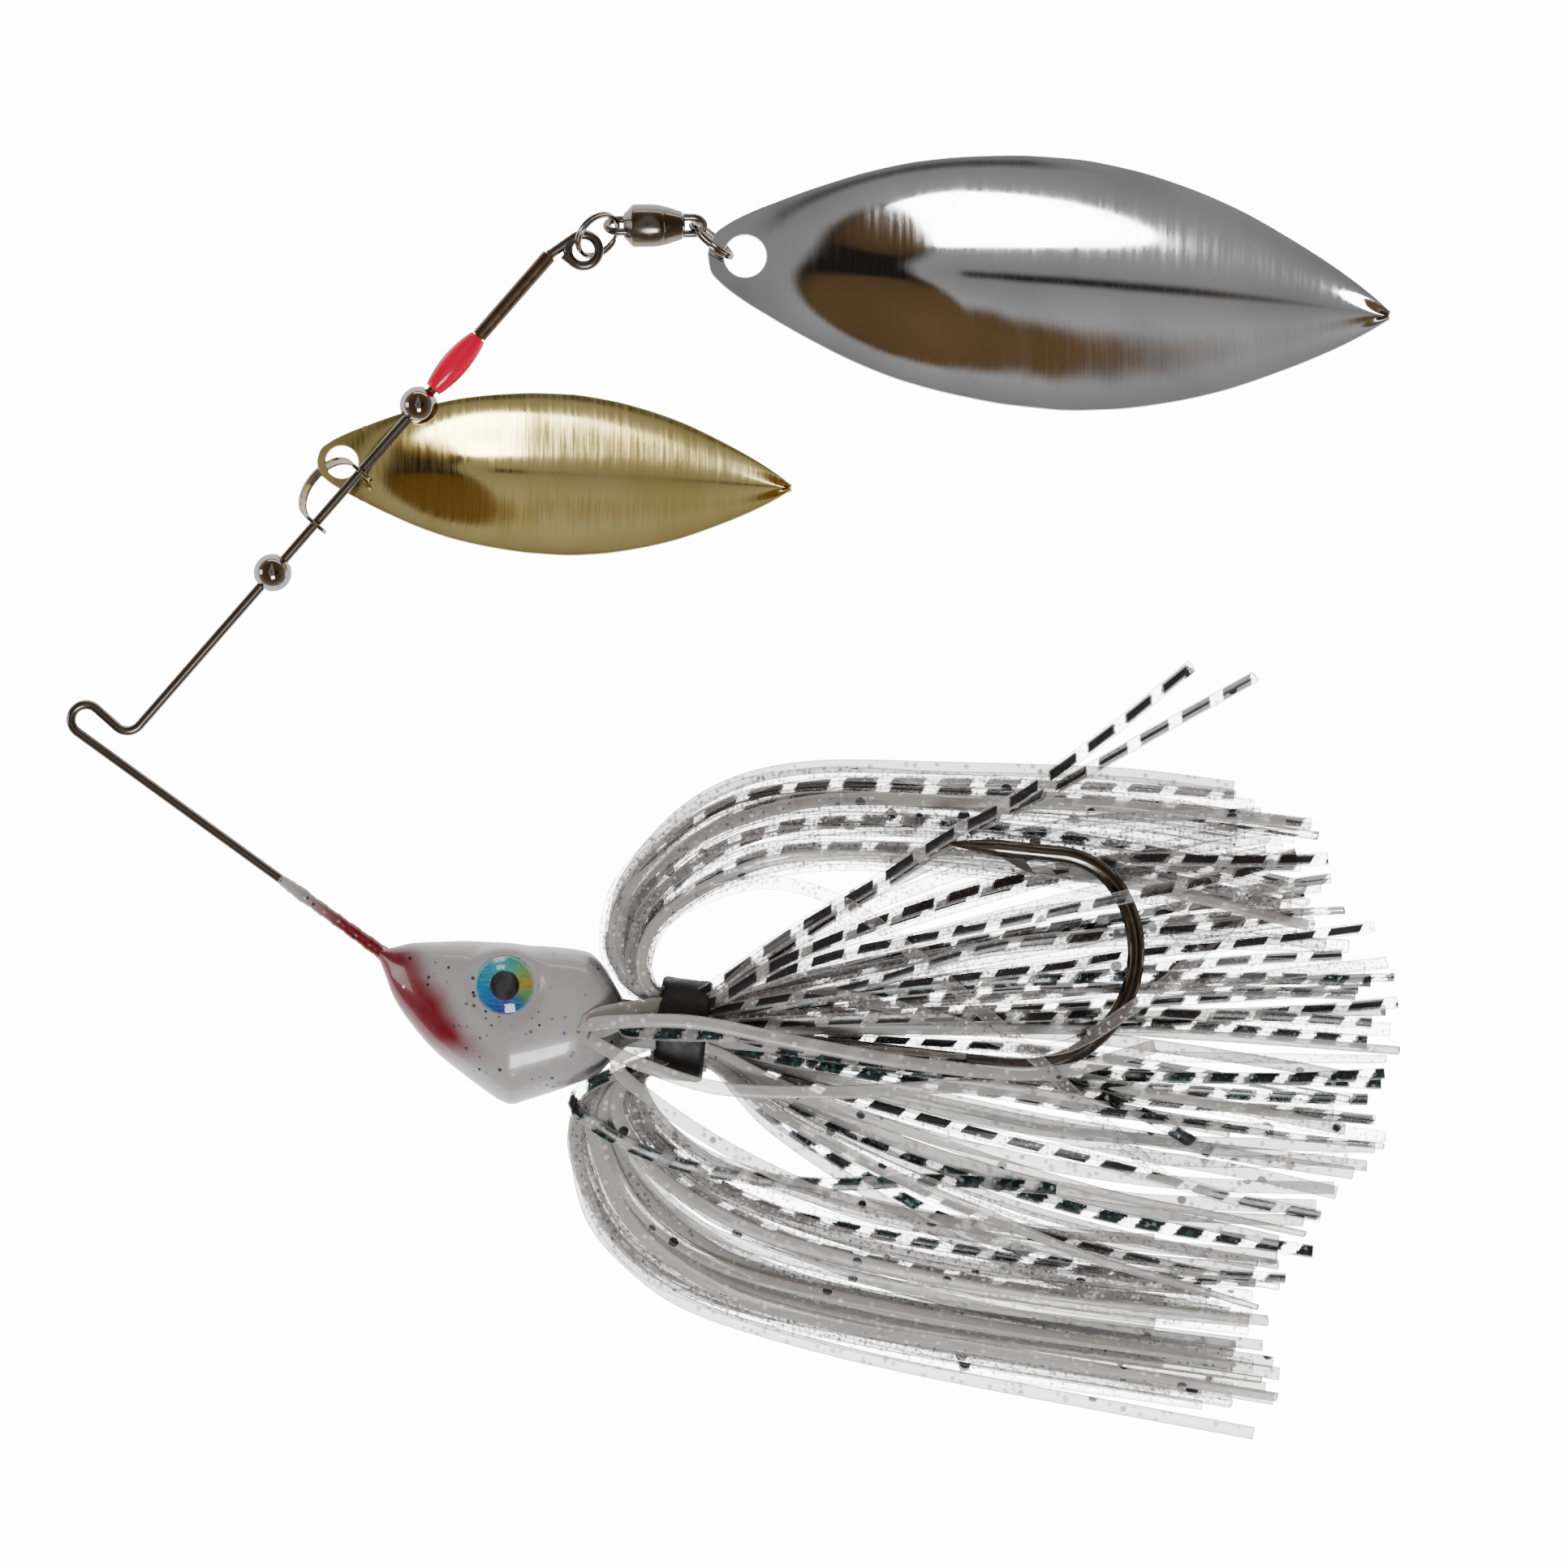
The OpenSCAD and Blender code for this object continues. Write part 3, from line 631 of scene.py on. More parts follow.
# the bend is forged a little flatter across the plane, with a fluted inner face
P, T, S, U = frames(path)
V = []
NS = 40
ys0, ys1 = 62.0, 96.0
for i in range(len(P)):
    f = min(1, max(0, (d[i] - 58) / 8)) * min(1, max(0, (tot - 9 - d[i]) / 8))
    for k in range(NS):
        a = 2 * math.pi * k / NS
        cx, cy = math.cos(a), math.sin(a)
        # side vector points to the outer side of the bend for this path
        rr = sc[i]
        groove = 0.05 * f * (0.5 + 0.5 * math.cos(a * 10)) * (1 if cx < 0.2 else 0.3)
        rr2 = rr - groove
        V.append(P[i] + (rr2 * cx * (1 + 0.02 * f)) * S[i] + (rr2 * cy * (1 - 0.07 * f)) * U[i])
F = grid_faces(len(P), NS)
F.append(tuple(range(NS)))
F.append(tuple((len(P) - 1) * NS + k for k in reversed(range(NS))))
# barb: a thin wedge cut up from the inner side of the point
bb = [(25.6, -6.95), (26.8, -7.85), (28.2, -8.75), (29.75, -9.35), (29.45, -8.7), (28.9, -8.05), (28.5, -7.2)]
bt = [0.28, 0.24, 0.17, 0.05, 0.12, 0.2, 0.3]
Vb = [(x, y, WZ + h) for (x, y), h in zip(bb, bt)] + [(x, y, WZ - h) for (x, y), h in zip(bb, bt)]
nb = len(bb)
Fb = [tuple(range(nb)), tuple(reversed(range(nb, 2 * nb)))] + [(k, (k + 1) % nb, nb + (k + 1) % nb, nb + k) for k in range(nb)]
V, F = join([([tuple(v) for v in V], F), (Vb, Fb)])
make("hook_wire", V, F, [hook_m], "root", ["hook"], angle=45)

# ------------------------------------------------------------------ collar
prof = []
for k in range(13):
    a = math.radians(-90 + 180 * k / 12)
    pass
w2 = 2.6
outer = [(4.4, -w2 + 0.05), (4.7, -w2), (5.0, -w2 + 0.08), (5.18, -w2 + 0.28), (5.25, -w2 + 0.6), (5.22, -1.2), (5.25, 0), (5.21, 1.2), (5.25, w2 - 0.6), (5.18, w2 - 0.28), (5.0, w2 - 0.08), (4.7, w2), (4.4, w2 - 0.05)]
V, F = lathe(outer, COL, SD, 96)
V = [tuple(np.array(v) + 0.05 * np.array([0, math.sin(v[2] * 1.7 + v[0]), math.cos(v[1] * 1.3)])) for v in V]
make("collar_band", V, F, [coll], "root", ["skirt_collar"], angle=50)

# ------------------------------------------------------------------ beads, attractor, sleeve
def bead_profile():
    p = []
    r, b = 1.95, 0.62
    a0 = math.asin(0.86 / r)
    p.append((b, -1.60))
    p.append((b + 0.10, -1.71))
    for k in range(41):
        a = a0 + (math.pi - 2 * a0) * k / 40
        p.append((r * math.sin(a), -r * math.cos(a)))
    p.append((b + 0.10, 1.71))
    p.append((b, 1.60))
    return p


for nm, t, body in (("lower_bead", 0.0, "lower_bead"), ("upper_bead", 22.8, "upper_bead")):
    V, F = lathe(bead_profile(), arm(t), UD, 72)
    make(nm + "_shell", V, F, [bead_m], body, [nm], angle=35)

attr = Mat("attractor_mat")
# the faint red emission is a painted glow that brightens the bead's red; the bead is no lamp
attr.set(Roughness=0.12, Transmission_Weight=0.15, IOR=1.45, Emission_Strength=0.16)
v = attr.coords(1.0)
nn = attr.noise(v, 500.0, 3.0)
attr.color(attr.mix(nn, (0.62, 0.0, 0.035), (0.74, 0.0, 0.06)))
attr.set(Emission_Color=(1.0, 0.0, 0.06, 1))
attr.rough(attr.maprange(nn, 0.3, 0.7, 0.08, 0.2))
pa = [(0.62, 0.0)]
Lb = 7.1
for k in range(41):
    u = k / 40
    pa.append((0.85 + 0.55 * math.sin(math.pi * u) ** 0.8 if 0 < u < 1 else 0.85, Lb * u))
pa.append((0.62, Lb))
V, F = lathe(pa, arm(25.0), UD, 64)
make("attractor_shell", V, F, [attr], "attractor", ["attractor_bead"], angle=40)

ps = [(0.515, 0.05), (0.56, 0.0), (0.73, 0.0), (0.775, 0.06), (0.775, 10.94), (0.73, 11.0), (0.56, 11.0), (0.515, 10.95)]
V, F = lathe(ps, arm(32.2), UD, 48)
make("sleeve_tube", V, F, [sleeve_m], "root", ["spacer_sleeve"], angle=35)

# ------------------------------------------------------------------ clevis: strip with raised edges, drilled tabs
CH, CT, CTILT, CREACH, CW = 3.55, 0.4, math.radians(47), 5.7, 1.0
C0 = arm(10.2)
BV = UN * math.cos(CTILT) - np.array([0, 0, math.sin(CTILT)])
NV = np.cross(UD, BV)
tc_ = CREACH - (CH + CT / 2)
pth = []
for y in np.linspace(-0.2, tc_, 6)[:-1]:
    pth.append(C0 + CH * UD + y * BV)
for k in range(41):
    a = math.pi * k / 40
    pth.append(C0 + CH * math.cos(a) * UD + (tc_ + CH * math.sin(a)) * BV)
for y in np.linspace(tc_, -0.2, 6)[1:]:
    pth.append(C0 - CH * UD + y * BV)
pth = np.array(pth)
# section: along the strip's width (NV) and across its thickness (radial)
sec = [(-0.5, -0.15), (-0.46, -0.2), (-0.3, -0.2), (-0.22, -0.14), (0.22, -0.14), (0.3, -0.2), (0.46, -0.2), (0.5, -0.15),
       (0.5, 0.15), (0.46, 0.2), (0.3, 0.2), (0.22, 0.11), (-0.22, 0.11), (-0.3, 0.2), (-0.46, 0.2), (-0.5, 0.15)]
V = []
for i in range(len(pth)):
    tg = pth[min(i + 1, len(pth) - 1)] - pth[max(i - 1, 0)]
    tg /= np.linalg.norm(tg)
    rd = np.cross(tg, NV)
    for wq, tq in sec:
        V.append(tuple(pth[i] + wq * NV + tq * rd))
ns = len(sec)
F = grid_faces(len(pth), ns)
F.append(tuple(range(ns)))
F.append(tuple((len(pth) - 1) * ns + k for k in reversed(range(ns))))
parts = [(V, F)]
for s in (-1, 1):
    # drilled tab: washer with a narrow bevel
    pr_ = [(0.59, -0.17), (0.62, -0.2), (1.40, -0.2), (1.45, -0.15), (1.45, 0.15), (1.40, 0.2), (0.62, 0.2), (0.59, 0.17)]
    Vt, Ft = lathe(pr_, C0 + s * CH * UD - 0.2 * BV * 0.0, UD, 48)
    parts.append((Vt, Ft))
V, F = join(parts)
make("clevis_strip", V, F, [clevis_m], "clevis", ["clevis"], angle=35)

# ------------------------------------------------------------------ blades
LEAF = [(0, 0.02), (0.006, 0.14), (0.02, 0.22), (0.05, 0.33), (0.1, 0.47), (0.16, 0.62), (0.23, 0.77), (0.3, 0.88), (0.38, 0.955), (0.46, 0.995),
        (0.52, 1), (0.6, 0.96), (0.68, 0.87), (0.76, 0.735), (0.84, 0.545), (0.92, 0.32), (0.97, 0.15), (1, 0.03)]
LT = np.array(LEAF)


def sm(a, b, v):
    u = np.clip((v - a) / (b - a), 0, 1)
    return u * u * (3 - 2 * u)


def cupf(t, D):
    return D * sm(0.05, 0.38, t) * (1 - 0.82 * sm(0.42, 1.03, t))


def rimf(t, z0, z1, z2):
    return np.where(t < 0.45, z0 + (z1 - z0) * sm(0, 0.45, t), z1 + (z2 - z1) * sm(0.45, 1.1, t))


def halfw(t, W):
    # round nose at the hole end, smooth leaf beyond
    return pchip(np.asarray(t, float), LT[:, 0], LT[:, 1]) * W / 2


def blade_mesh(L, W, z0, z1, z2, D, hole, hr, origin, ang, th=0.5):
    S1 = hole + hr + 1.4
    t1 = S1 / L
    NT, M = 150, 56
    ts = t1 + (1 - t1) * (np.linspace(0, 1, NT) ** 0.98)
    us = np.linspace(-1, 1, M + 1)
    us = np.sign(us) * (1 - (1 - np.abs(us)) ** 1.15)

    def surf(s, vv):
        t = np.clip(s / L, 0, 1)
        w = max(float(halfw(t, W)), 1e-3)
        u = min(1.0, abs(vv) / w)
        return float(rimf(np.array(t), z0, z1, z2)) - float(cupf(np.array(t), D)) * (1 + math.cos(math.pi * u)) / 2

    P2, faces = [], []
    for t in ts:
        w = float(halfw(t, W))
        for u in us:
            P2.append((L * t, w * u))
    m = M + 1
    for i in range(NT - 1):
        for j in range(M):
            a = i * m + j
            faces.append((a, a + m, a + m + 1, a + 1))
    # hole end: outline points, the shared column, the hole and a few interior rings
    tt = t1 * (np.linspace(0, 1, 60)[:-1] ** 1.9)
    out = [(L * t, float(halfw(t, W))) for t in tt]
    ring_out = [(s, v) for s, v in out if s > 0.0]
    poly = [(0.0, 0.0)] + ring_out + [P2[j] for j in range(M, -1, -1)] + [(s, -v) for s, v in reversed(ring_out)]
    nh = 72
    holep = [(hole + hr * math.cos(2 * math.pi * k / nh), hr * math.sin(2 * math.pi * k / nh)) for k in range(nh)]
    inner = []
    for rr in (0.35, 0.75, 1.2, 1.8, 2.5, 3.3, 4.2):
        nq = 60
        for k in range(nq):
            x, y = hole + (hr + rr) * math.cos(2 * math.pi * (k + 0.5) / nq), (hr + rr) * math.sin(2 * math.pi * (k + 0.5) / nq)
            if 0.2 < x < S1 - 0.25 and abs(y) < float(halfw(max(x, 0) / L, W)) - 0.25:
                inner.append((x, y))
    allp = poly + holep + inner
    npoly = len(poly)
    edges = [(i, (i + 1) % npoly) for i in range(npoly)] + [(npoly + k, npoly + (k + 1) % nh) for k in range(nh)]
    res = delaunay_2d_cdt([Vector(p) for p in allp], edges, [], 0, 1e-6)
    vo, fo = res[0], res[2]
    base = len(P2)
    for p in vo:
        P2.append((p.x, p.y))
    for f in fo:
        cx = sum(vo[i].x for i in f) / len(f)
        cy = sum(vo[i].y for i in f) / len(f)
        if math.hypot(cx - hole, cy) < hr * 0.999:
            continue
        if cx < 0 or abs(cy) > float(halfw(max(cx, 0) / L, W)) + 1e-3 or cx > S1:
            continue
        faces.append(tuple(base + i for i in f))
    bm = bmesh.new()
    c, s_ = math.cos(math.radians(ang)), math.sin(math.radians(ang))
    vs = []
    for s, vv in P2:
        z = surf(s, vv)
        vs.append(bm.verts.new((origin[0] + s * c - vv * s_, origin[1] + s * s_ + vv * c, z)))
    for f in faces:
        try:
            bm.faces.new([vs[i] for i in f])
        except ValueError:
            pass
    bmesh.ops.remove_doubles(bm, verts=bm.verts, dist=1e-4)
    loose = [v_ for v_ in bm.verts if not v_.link_faces]
    bmesh.ops.delete(bm, geom=loose, context="VERTS")
    bmesh.ops.recalc_face_normals(bm, faces=bm.faces)
    bm.normal_update()
    up = sum(f.normal.z for f in bm.faces)
    if up < 0:
        bmesh.ops.reverse_faces(bm, faces=bm.faces)
        bm.normal_update()
    # thickness: top and bottom skins half a sheet apart, with a rolled edge between them
    tv = list(bm.verts)
    idx = {v_: i for i, v_ in enumerate(tv)}
    n = len(tv)
    V, F = [], []
    for v_ in tv:
        V.append(tuple(v_.co + v_.normal * th / 2))
    for v_ in tv:
        V.append(tuple(v_.co - v_.normal * th / 2))
    for f in bm.faces:
        ids = [idx[q] for q in f.verts]
        F.append(tuple(ids))
        F.append(tuple(n + i for i in reversed(ids)))
    mid = {}
    for e in bm.edges:
        if len(e.link_faces) == 1:
            fc = e.link_faces[0]
            a, b = e.verts
            # orient the wall with the face's own winding
            lo = [l for l in fc.loops if l.edge == e][0]
            a, b = lo.vert, lo.link_loop_next.vert
            outd = (a.co + b.co) / 2 - fc.calc_center_median()
            for q in (a, b):
                if q not in mid:
                    mid[q] = [len(V), Vector((0, 0, 0))]
                    V.append(None)
                mid[q][1] += outd.normalized()
            ia, ib = idx[a], idx[b]
            F.append((ib, ia, mid[a][0], mid[b][0]))
            F.append((mid[b][0], mid[a][0], n + ia, n + ib))
    for q, (i, dv) in mid.items():
        nrm = q.normal
        dv = dv - nrm * dv.dot(nrm)
        dv.normalize()
        V[i] = tuple(q.co + dv * 0.09)
    bm.free()
    return V, F


V, F = blade_mesh(70.9, 25.9, 3.5, 3.5, 1.4, 3.25, 3.8, 2.25, (-3.7, 54.75), -5.05)
make("nickel_blade_leaf", V, F, [nick], "nickel_blade", ["nickel_blade"], angle=60)
V, F = blade_mesh(49.0, 16.6, 3.2, 2.4, 1.3, 2.15, 2.5, 1.75, (-44.1, 33.3), -3.1)
make("gold_blade_leaf", V, F, [gold], "gold_blade", ["gold_blade"], angle=60)


# ------------------------------------------------------------------ split rings: two real turns of wire with a stepped end
def split_ring(name, c, nrm, r, start, body, node):
    nv = Vector(nrm).normalized()
    q = Vector((0, 0, 1)) if abs(nv.z) < 0.9 else Vector((1, 0, 0))
    e1 = nv.cross(q).normalized()
    e2 = nv.cross(e1)
    pts = []
    turns = 1.94
    N = 150
    for i in range(N):
        u = i / (N - 1)
        a = start + 2 * math.pi * turns * u
        # coil pitch: each turn lies flat, with the step taken near the two ends
        h = -0.205 + 0.41 * float(sm(0.40, 0.60, np.array(u)))
        pts.append(Vector(c) + (e1 * math.cos(a) + e2 * math.sin(a)) * r + nv * h)
    P = np.array([tuple(p) for p in pts])
    V = []
    sec = round_rect(0.42, 0.38, 0.15, 4)
    for i in range(N):
        rad_ = P[i] - np.array(c)
        rad_ = rad_ - np.dot(rad_, np.array(nv)) * np.array(nv)
        rad_ /= np.linalg.norm(rad_)
        e = min(i, N - 1 - i)
        k = min(1.0, 0.55 + 0.45 * e / 3)
        for x, y in sec:
            V.append(tuple(P[i] + x * k * rad_ + y * k * np.array(nv)))
    ns = len(sec)
    F = grid_faces(N, ns)
    F.append(tuple(range(ns)))
    F.append(tuple((N - 1) * ns + k for k in reversed(range(ns))))
    return make(name, V, F, [ring_m], body, [node], angle=50)


split_ring("front_ring_coil", (-15.02, 56.24, 6.24), (0.577, -0.575, 0.58), 2.42, 2.4, "front_ring", "front_split_ring")
split_ring("rear_ring_coil", (-3.35, 56.01, 4.04), (0.64, 0.73, 0.22), 2.68, 0.3, "rear_ring", "rear_split_ring")

# ------------------------------------------------------------------ swivel
SY, SZ = 57.35, 5.3


def eye_path(x, legl, dirn, roll, R=1.15):
    pts = []
    for k in np.linspace(legl, 0, 6)[:-1]:
        pts.append((-dirn * k, R, 0))
    for a in np.linspace(90, -90, 25):
        pts.append((dirn * R * math.cos(math.radians(a)), R * math.sin(math.radians(a)), 0))
    for k in np.linspace(0, legl, 6)[1:]:
        pts.append((-dirn * k, -R, 0))
    c, s = math.cos(math.radians(roll)), math.sin(math.radians(roll))
    return [(x + p[0], SY + p[1] * c, SZ + p[1] * s) for p in pts]


V, F = sweep(eye_path(-12.98, 1.3, -1, -50), circle_sec(0.4, 22))
make("swivel_front_loop", V, F, [swivel_m], "swivel", ["swivel_front_eye"], angle=40)
br_ = 2.2
pb = [(0, 0.02), (1.18, 0), (1.27, 0.05), (1.36, 0.16), (1.9, 0.68), (2.06, 0.82), (2.15, 0.92), (br_, 1.06), (br_, 2.6), (2.19, 3.1), (2.15, 3.5), (2.09, 3.85), (2.02, 4.14),
      (1.97, 4.2), (1.6, 4.2), (1.6, 1.95), (0, 1.95)]
V, F = lathe(pb, (-12.4, SY, SZ), (1, 0, 0), 72)
make("swivel_housing", V, F, [swivel_m], "swivel", ["swivel_barrel"], angle=38)
pe = [(0.64, 0.0), (1.97, 0.0), (2.0, 0.05), (1.99, 0.12), (1.93, 0.3), (1.46, 1.74), (1.41, 1.84), (1.33, 1.86), (0.64, 1.86)]
V, F = lathe(pe, (-8.2, SY, SZ), (1, 0, 0), 72)
make("swivel_cap", V, F, [swivel_m], "swivel", ["swivel_end_cap"], angle=38)
parts = [sweep(eye_path(-5.3, 0.8, 1, 50), circle_sec(0.4, 22))]
parts.append(lathe([(0, 0), (1.24, 0), (1.3, 0.05), (1.3, 0.17), (1.24, 0.22), (0, 0.22)], (-6.3, SY, SZ), (1, 0, 0), 48))
parts.append(lathe([(0, 0), (0.55, 0), (0.55, 3.5), (0, 3.5)], (-9.75, SY, SZ), (1, 0, 0), 40))
parts.append(lathe([(0, 0), (1.42, 0), (1.45, 0.05), (1.45, 0.5), (1.42, 0.55), (0, 0.55)], (-9.75, SY, SZ), (1, 0, 0), 48))
V, F = join(parts)
make("swivel_rear_loop", V, F, [swivel_m], "swivel_eye", ["swivel_rear_eye"], angle=40)


# ------------------------------------------------------------------ skirt strands
def strand_material(name, kind):
    """Silicone strip. UV: x runs along the strand in mm (with a different start for each), y across it from 0 to 1."""
    m = Mat(name)
    m.set(IOR=1.41, Metallic=0.0, Coat_Weight=0.2, Coat_Roughness=0.08)
    uv = m.new("ShaderNodeUVMap", uv_map="UVMap")
    sep = m.new("ShaderNodeSeparateXYZ")
    m.link(uv.outputs[0], sep.inputs[0])
    along, across = sep.outputs[0], sep.outputs[1]
    obj = m.coords(1.0)
    lw = m.new("ShaderNodeLayerWeight")
    lw.inputs["Blend"].default_value = 0.42
    edge = lw.outputs["Facing"]
    milky = m.noise(obj, 240.0, 2.0)
    # glitter flakes inside the silicone
    fl = m.voronoi(m.coords(1.0), 1900.0 if kind != "pearl" else 1300.0)
    pick = m.new("ShaderNodeSeparateColor")
    m.link(fl.outputs["Color"], pick.inputs[0])
    near = m.math("LESS_THAN", fl.outputs["Distance"], 0.36)
    if kind == "clear":
        base = m.mix(milky, (0.50, 0.49, 0.50), (0.66, 0.65, 0.66))
        flake = m.ramp(pick.outputs[1], [(0.0, (0.16, 0.15, 0.16)), (0.35, (0.62, 0.54, 0.56)), (0.6, (0.90, 0.90, 0.92)), (0.82, (0.10, 0.095, 0.11))], "CONSTANT")
        some = m.math("GREATER_THAN", pick.outputs[0], 0.42)
        col = m.mix(m.math("MULTIPLY", near, some), base, flake)
        a_lo, a_hi, fa = 0.16, 0.92, 0.66
    elif kind == "pearl":
        base = m.mix(milky, (0.52, 0.525, 0.52), (0.64, 0.64, 0.63))
        flake = m.ramp(pick.outputs[1], [(0.0, (0.72, 0.70, 0.68)), (0.5, (0.86, 0.84, 0.86))], "CONSTANT")
        some = m.math("GREATER_THAN", pick.outputs[0], 0.7)
        col = m.mix(m.math("MULTIPLY", near, some), base, flake)
        a_lo, a_hi, fa = 0.58, 0.97, 0.85
    else:
        base = m.mix(milky, (0.62, 0.63, 0.63), (0.80, 0.81, 0.80))
        flake = m.ramp(pick.outputs[1], [(0.0, (0.55, 0.55, 0.56)), (0.5, (0.90, 0.90, 0.91))], "CONSTANT")
        some = m.math("GREATER_THAN", pick.outputs[0], 0.6)
        col = m.mix(m.math("MULTIPLY", near, some), base, flake)
        a_lo, a_hi, fa = 0.20, 0.92, 0.6
    alpha = m.maprange(edge, 0.12, 0.75, a_lo, a_hi)
    alpha = m.math("MAXIMUM", alpha, m.math("MULTIPLY", m.math("MULTIPLY", near, some), fa))
    # darker rims, as light bends away at the edges of a clear strip
    rim_c = (0.10, 0.10, 0.105) if kind != "pearl" else (0.27, 0.27, 0.27)
    col = m.mix(m.maprange(edge, 0.45, 0.92, 0.0, 0.92 if kind != "pearl" else 0.70), col, rim_c)
    if kind in ("bars", "spark"):
        # printed bars with slanted, slightly ragged ends
        per = 4.9 if kind == "bars" else 4.2
        rag = m.noise(m.coords(1.0), 2400.0, 2.0)
        pos = m.math("ADD", along, m.math("MULTIPLY", across, 0.9))
        pos = m.math("ADD", pos, m.math("MULTIPLY", m.math("SUBTRACT", rag, 0.5), 0.35 if kind == "bars" else 1.5))
        fr = m.math("FRACT", m.math("DIVIDE", pos, per))
        lo = m.maprange(fr, 0.0, 0.03)
        hi = m.maprange(fr, 0.70 if kind == "bars" else 0.60, 0.73 if kind == "bars" else 0.68, 1.0, 0.0)
        bar = m.math("MULTIPLY", lo, hi)
        # the print stops short of the strip's edges
        ed = m.math("ABSOLUTE", m.math("SUBTRACT", across, 0.5))
        bar = m.math("MULTIPLY", bar, m.maprange(ed, 0.30, 0.36, 1.0, 0.0) if kind == "bars" else m.maprange(ed, 0.40, 0.50, 1.0, 0.0))
        ink = (0.012, 0.012, 0.014)
        if kind == "spark":
            tealv = m.voronoi(m.coords(1.0), 2600.0)
            pk = m.new("ShaderNodeSeparateColor")
            m.link(tealv.outputs["Color"], pk.inputs[0])
            ink = m.ramp(pk.outputs[0], [(0.0, (0.005, 0.006, 0.008)), (0.62, (0.010, 0.026, 0.030)), (0.80, (0.025, 0.075, 0.075)), (0.94, (0.22, 0.30, 0.31))], "CONSTANT")
        col = m.mix(bar, col, ink)
        alpha = m.math("MAXIMUM", alpha, m.math("MULTIPLY", bar, 0.97))
    # rare black hex flakes
    hx_ = m.voronoi(m.coords(1.0), 330.0 if kind == "pearl" else 260.0)
    ph = m.new("ShaderNodeSeparateColor")
    m.link(hx_.outputs["Color"], ph.inputs[0])
    blk = m.math("MULTIPLY", m.math("LESS_THAN", hx_.outputs["Distance"], 0.17), m.math("GREATER_THAN", ph.outputs[0], 0.62 if kind == "pearl" else 0.72))
    col = m.mix(blk, col, (0.015, 0.02, 0.025))
    alpha = m.math("MAXIMUM", alpha, m.math("MULTIPLY", blk, 0.95))
    m.color(col)
    m.link(alpha, m.b.inputs["Alpha"])
    m.rough(m.maprange(m.noise(obj, 1500.0, 2.0), 0.3, 0.7, 0.16, 0.34))
    m.normal(m.bump(m.noise(obj, 1800.0, 2.0), 0.22, 0.00006))
    return m


strand_m = {k: strand_material("strand_" + k + "_mat", k) for k in ("clear", "pearl", "bars", "spark")}
groups = {}


SHANK = np.array([COL[:2] + SD[:2] * d_ for d_ in np.linspace(6.0, 33.0, 28)])
BEND = np.array([p_[:2] for p_ in arc_pts(BC, 11.9, -96.5, 30, WZ, 5) + arc_pts(BD, 8, 30, 84, WZ, 6)] + [tuple((leg + lv * t_)[:2]) for t_ in np.linspace(1, 11.9, 12)])


def dodge(P, over_bend):
    """Strands pass over or under the hook and never through it; most lie under its bend and point."""
    for pts, mode in ((SHANK, None), (BEND, over_bend)):
        d_ = np.sqrt(((P[:, None, :2] - pts[None]) ** 2).sum(2)).min(1)
        w_ = 1 - sm(2.0, 7.5, d_)
        if w_.max() < 0.02:
            continue
        zc = P[np.argmin(d_), 2]
        over = (zc > WZ) if mode is None else mode
        target = np.maximum(P[:, 2], 7.95) if over else np.minimum(P[:, 2], 4.35)
        P[:, 2] = P[:, 2] * (1 - w_) + target * w_
    return P


def add_strand(ctrl, kind, group, width=1.35, thick=0.62, tw0=0.0, tw1=0.0, over_bend=False):
    P, s = spline(ctrl, 0.85)
    P = dodge(P, over_bend)
    # keep every point on or above the floor
    P[:, 2] = np.maximum(P[:, 2], 0.42)
    Pf, T, S, U = frames(P)
    # level the ribbon: its width starts square to Z and then turns slowly
    sec = round_rect(width, thick, 0.2, 2)
    n = len(P)
    off = rng.uniform(0, 400)
    V, UV = [], []
    for i in range(n):
        side = np.cross(T[i], np.array([0, 0, 1.0]))
        ln = np.linalg.norm(side)
        if ln > 0.25:
            side /= ln
            upv = np.cross(side, T[i])
        else:
            side, upv = S[i], U[i]
        a = tw0 + (tw1 - tw0) * i / (n - 1)
        c, q = math.cos(a), math.sin(a)
        k = 1.0
        for x, y in sec:
            xx, yy = (x * c - y * q) * k, (x * q + y * c) * k
            V.append(tuple(P[i] + xx * side + yy * upv))
            UV.append((off + s[i], x / width + 0.5))
    ns = len(sec)
    F = grid_faces(n, ns)
    F.append(tuple(range(ns)))
    F.append(tuple((n - 1) * ns + k for k in reversed(range(ns))))
    g = groups.setdefault((group, kind), [[], [], []])
    o = len(g[0])
    g[0] += V
    g[1] += [tuple(i + o for i in f) for f in F]
    g[2] += UV


def lerp_ctrl(A, B, q):
    return [tuple(a[k] * (1 - q) + b[k] * q for k in range(2)) for a, b in zip(A, B)]


U0 = [(-6.2, -22.4), (-9.6, -21.9), (-12.7, -19.4), (-13.9, -15.5), (-12.4, -9.8), (-7.2, -4.0), (-1.0, -0.3), (7.5, 1.1), (20, 0.9), (38, 0.0), (56, -1.4)]
U1 = [(-6.2, -22.4), (-8.9, -21.6), (-9.9, -19.8), (-9.6, -17.2), (-7.8, -14.2), (-3.2, -11.0), (3, -8.8), (11, -7.8), (24, -8.6), (40, -10.5), (59, -15.5)]
D0 = [(-6.6, -28.5), (-10.2, -29.4), (-13.9, -30.9), (-16.9, -33.8), (-17.4, -38.0), (-15.6, -44.2), (-11.8, -49.6), (-5, -53.7), (6, -57.3), (22, -60.8), (43, -64.6)]
D1 = [(-6.6, -28.4), (-9.4, -29.0), (-10.5, -30.3), (-10.0, -32.6), (-7.4, -36.0), (-2.4, -39.6), (5, -42.6), (13, -44.9), (24, -47.0), (38, -48.8), (56, -50.0)]


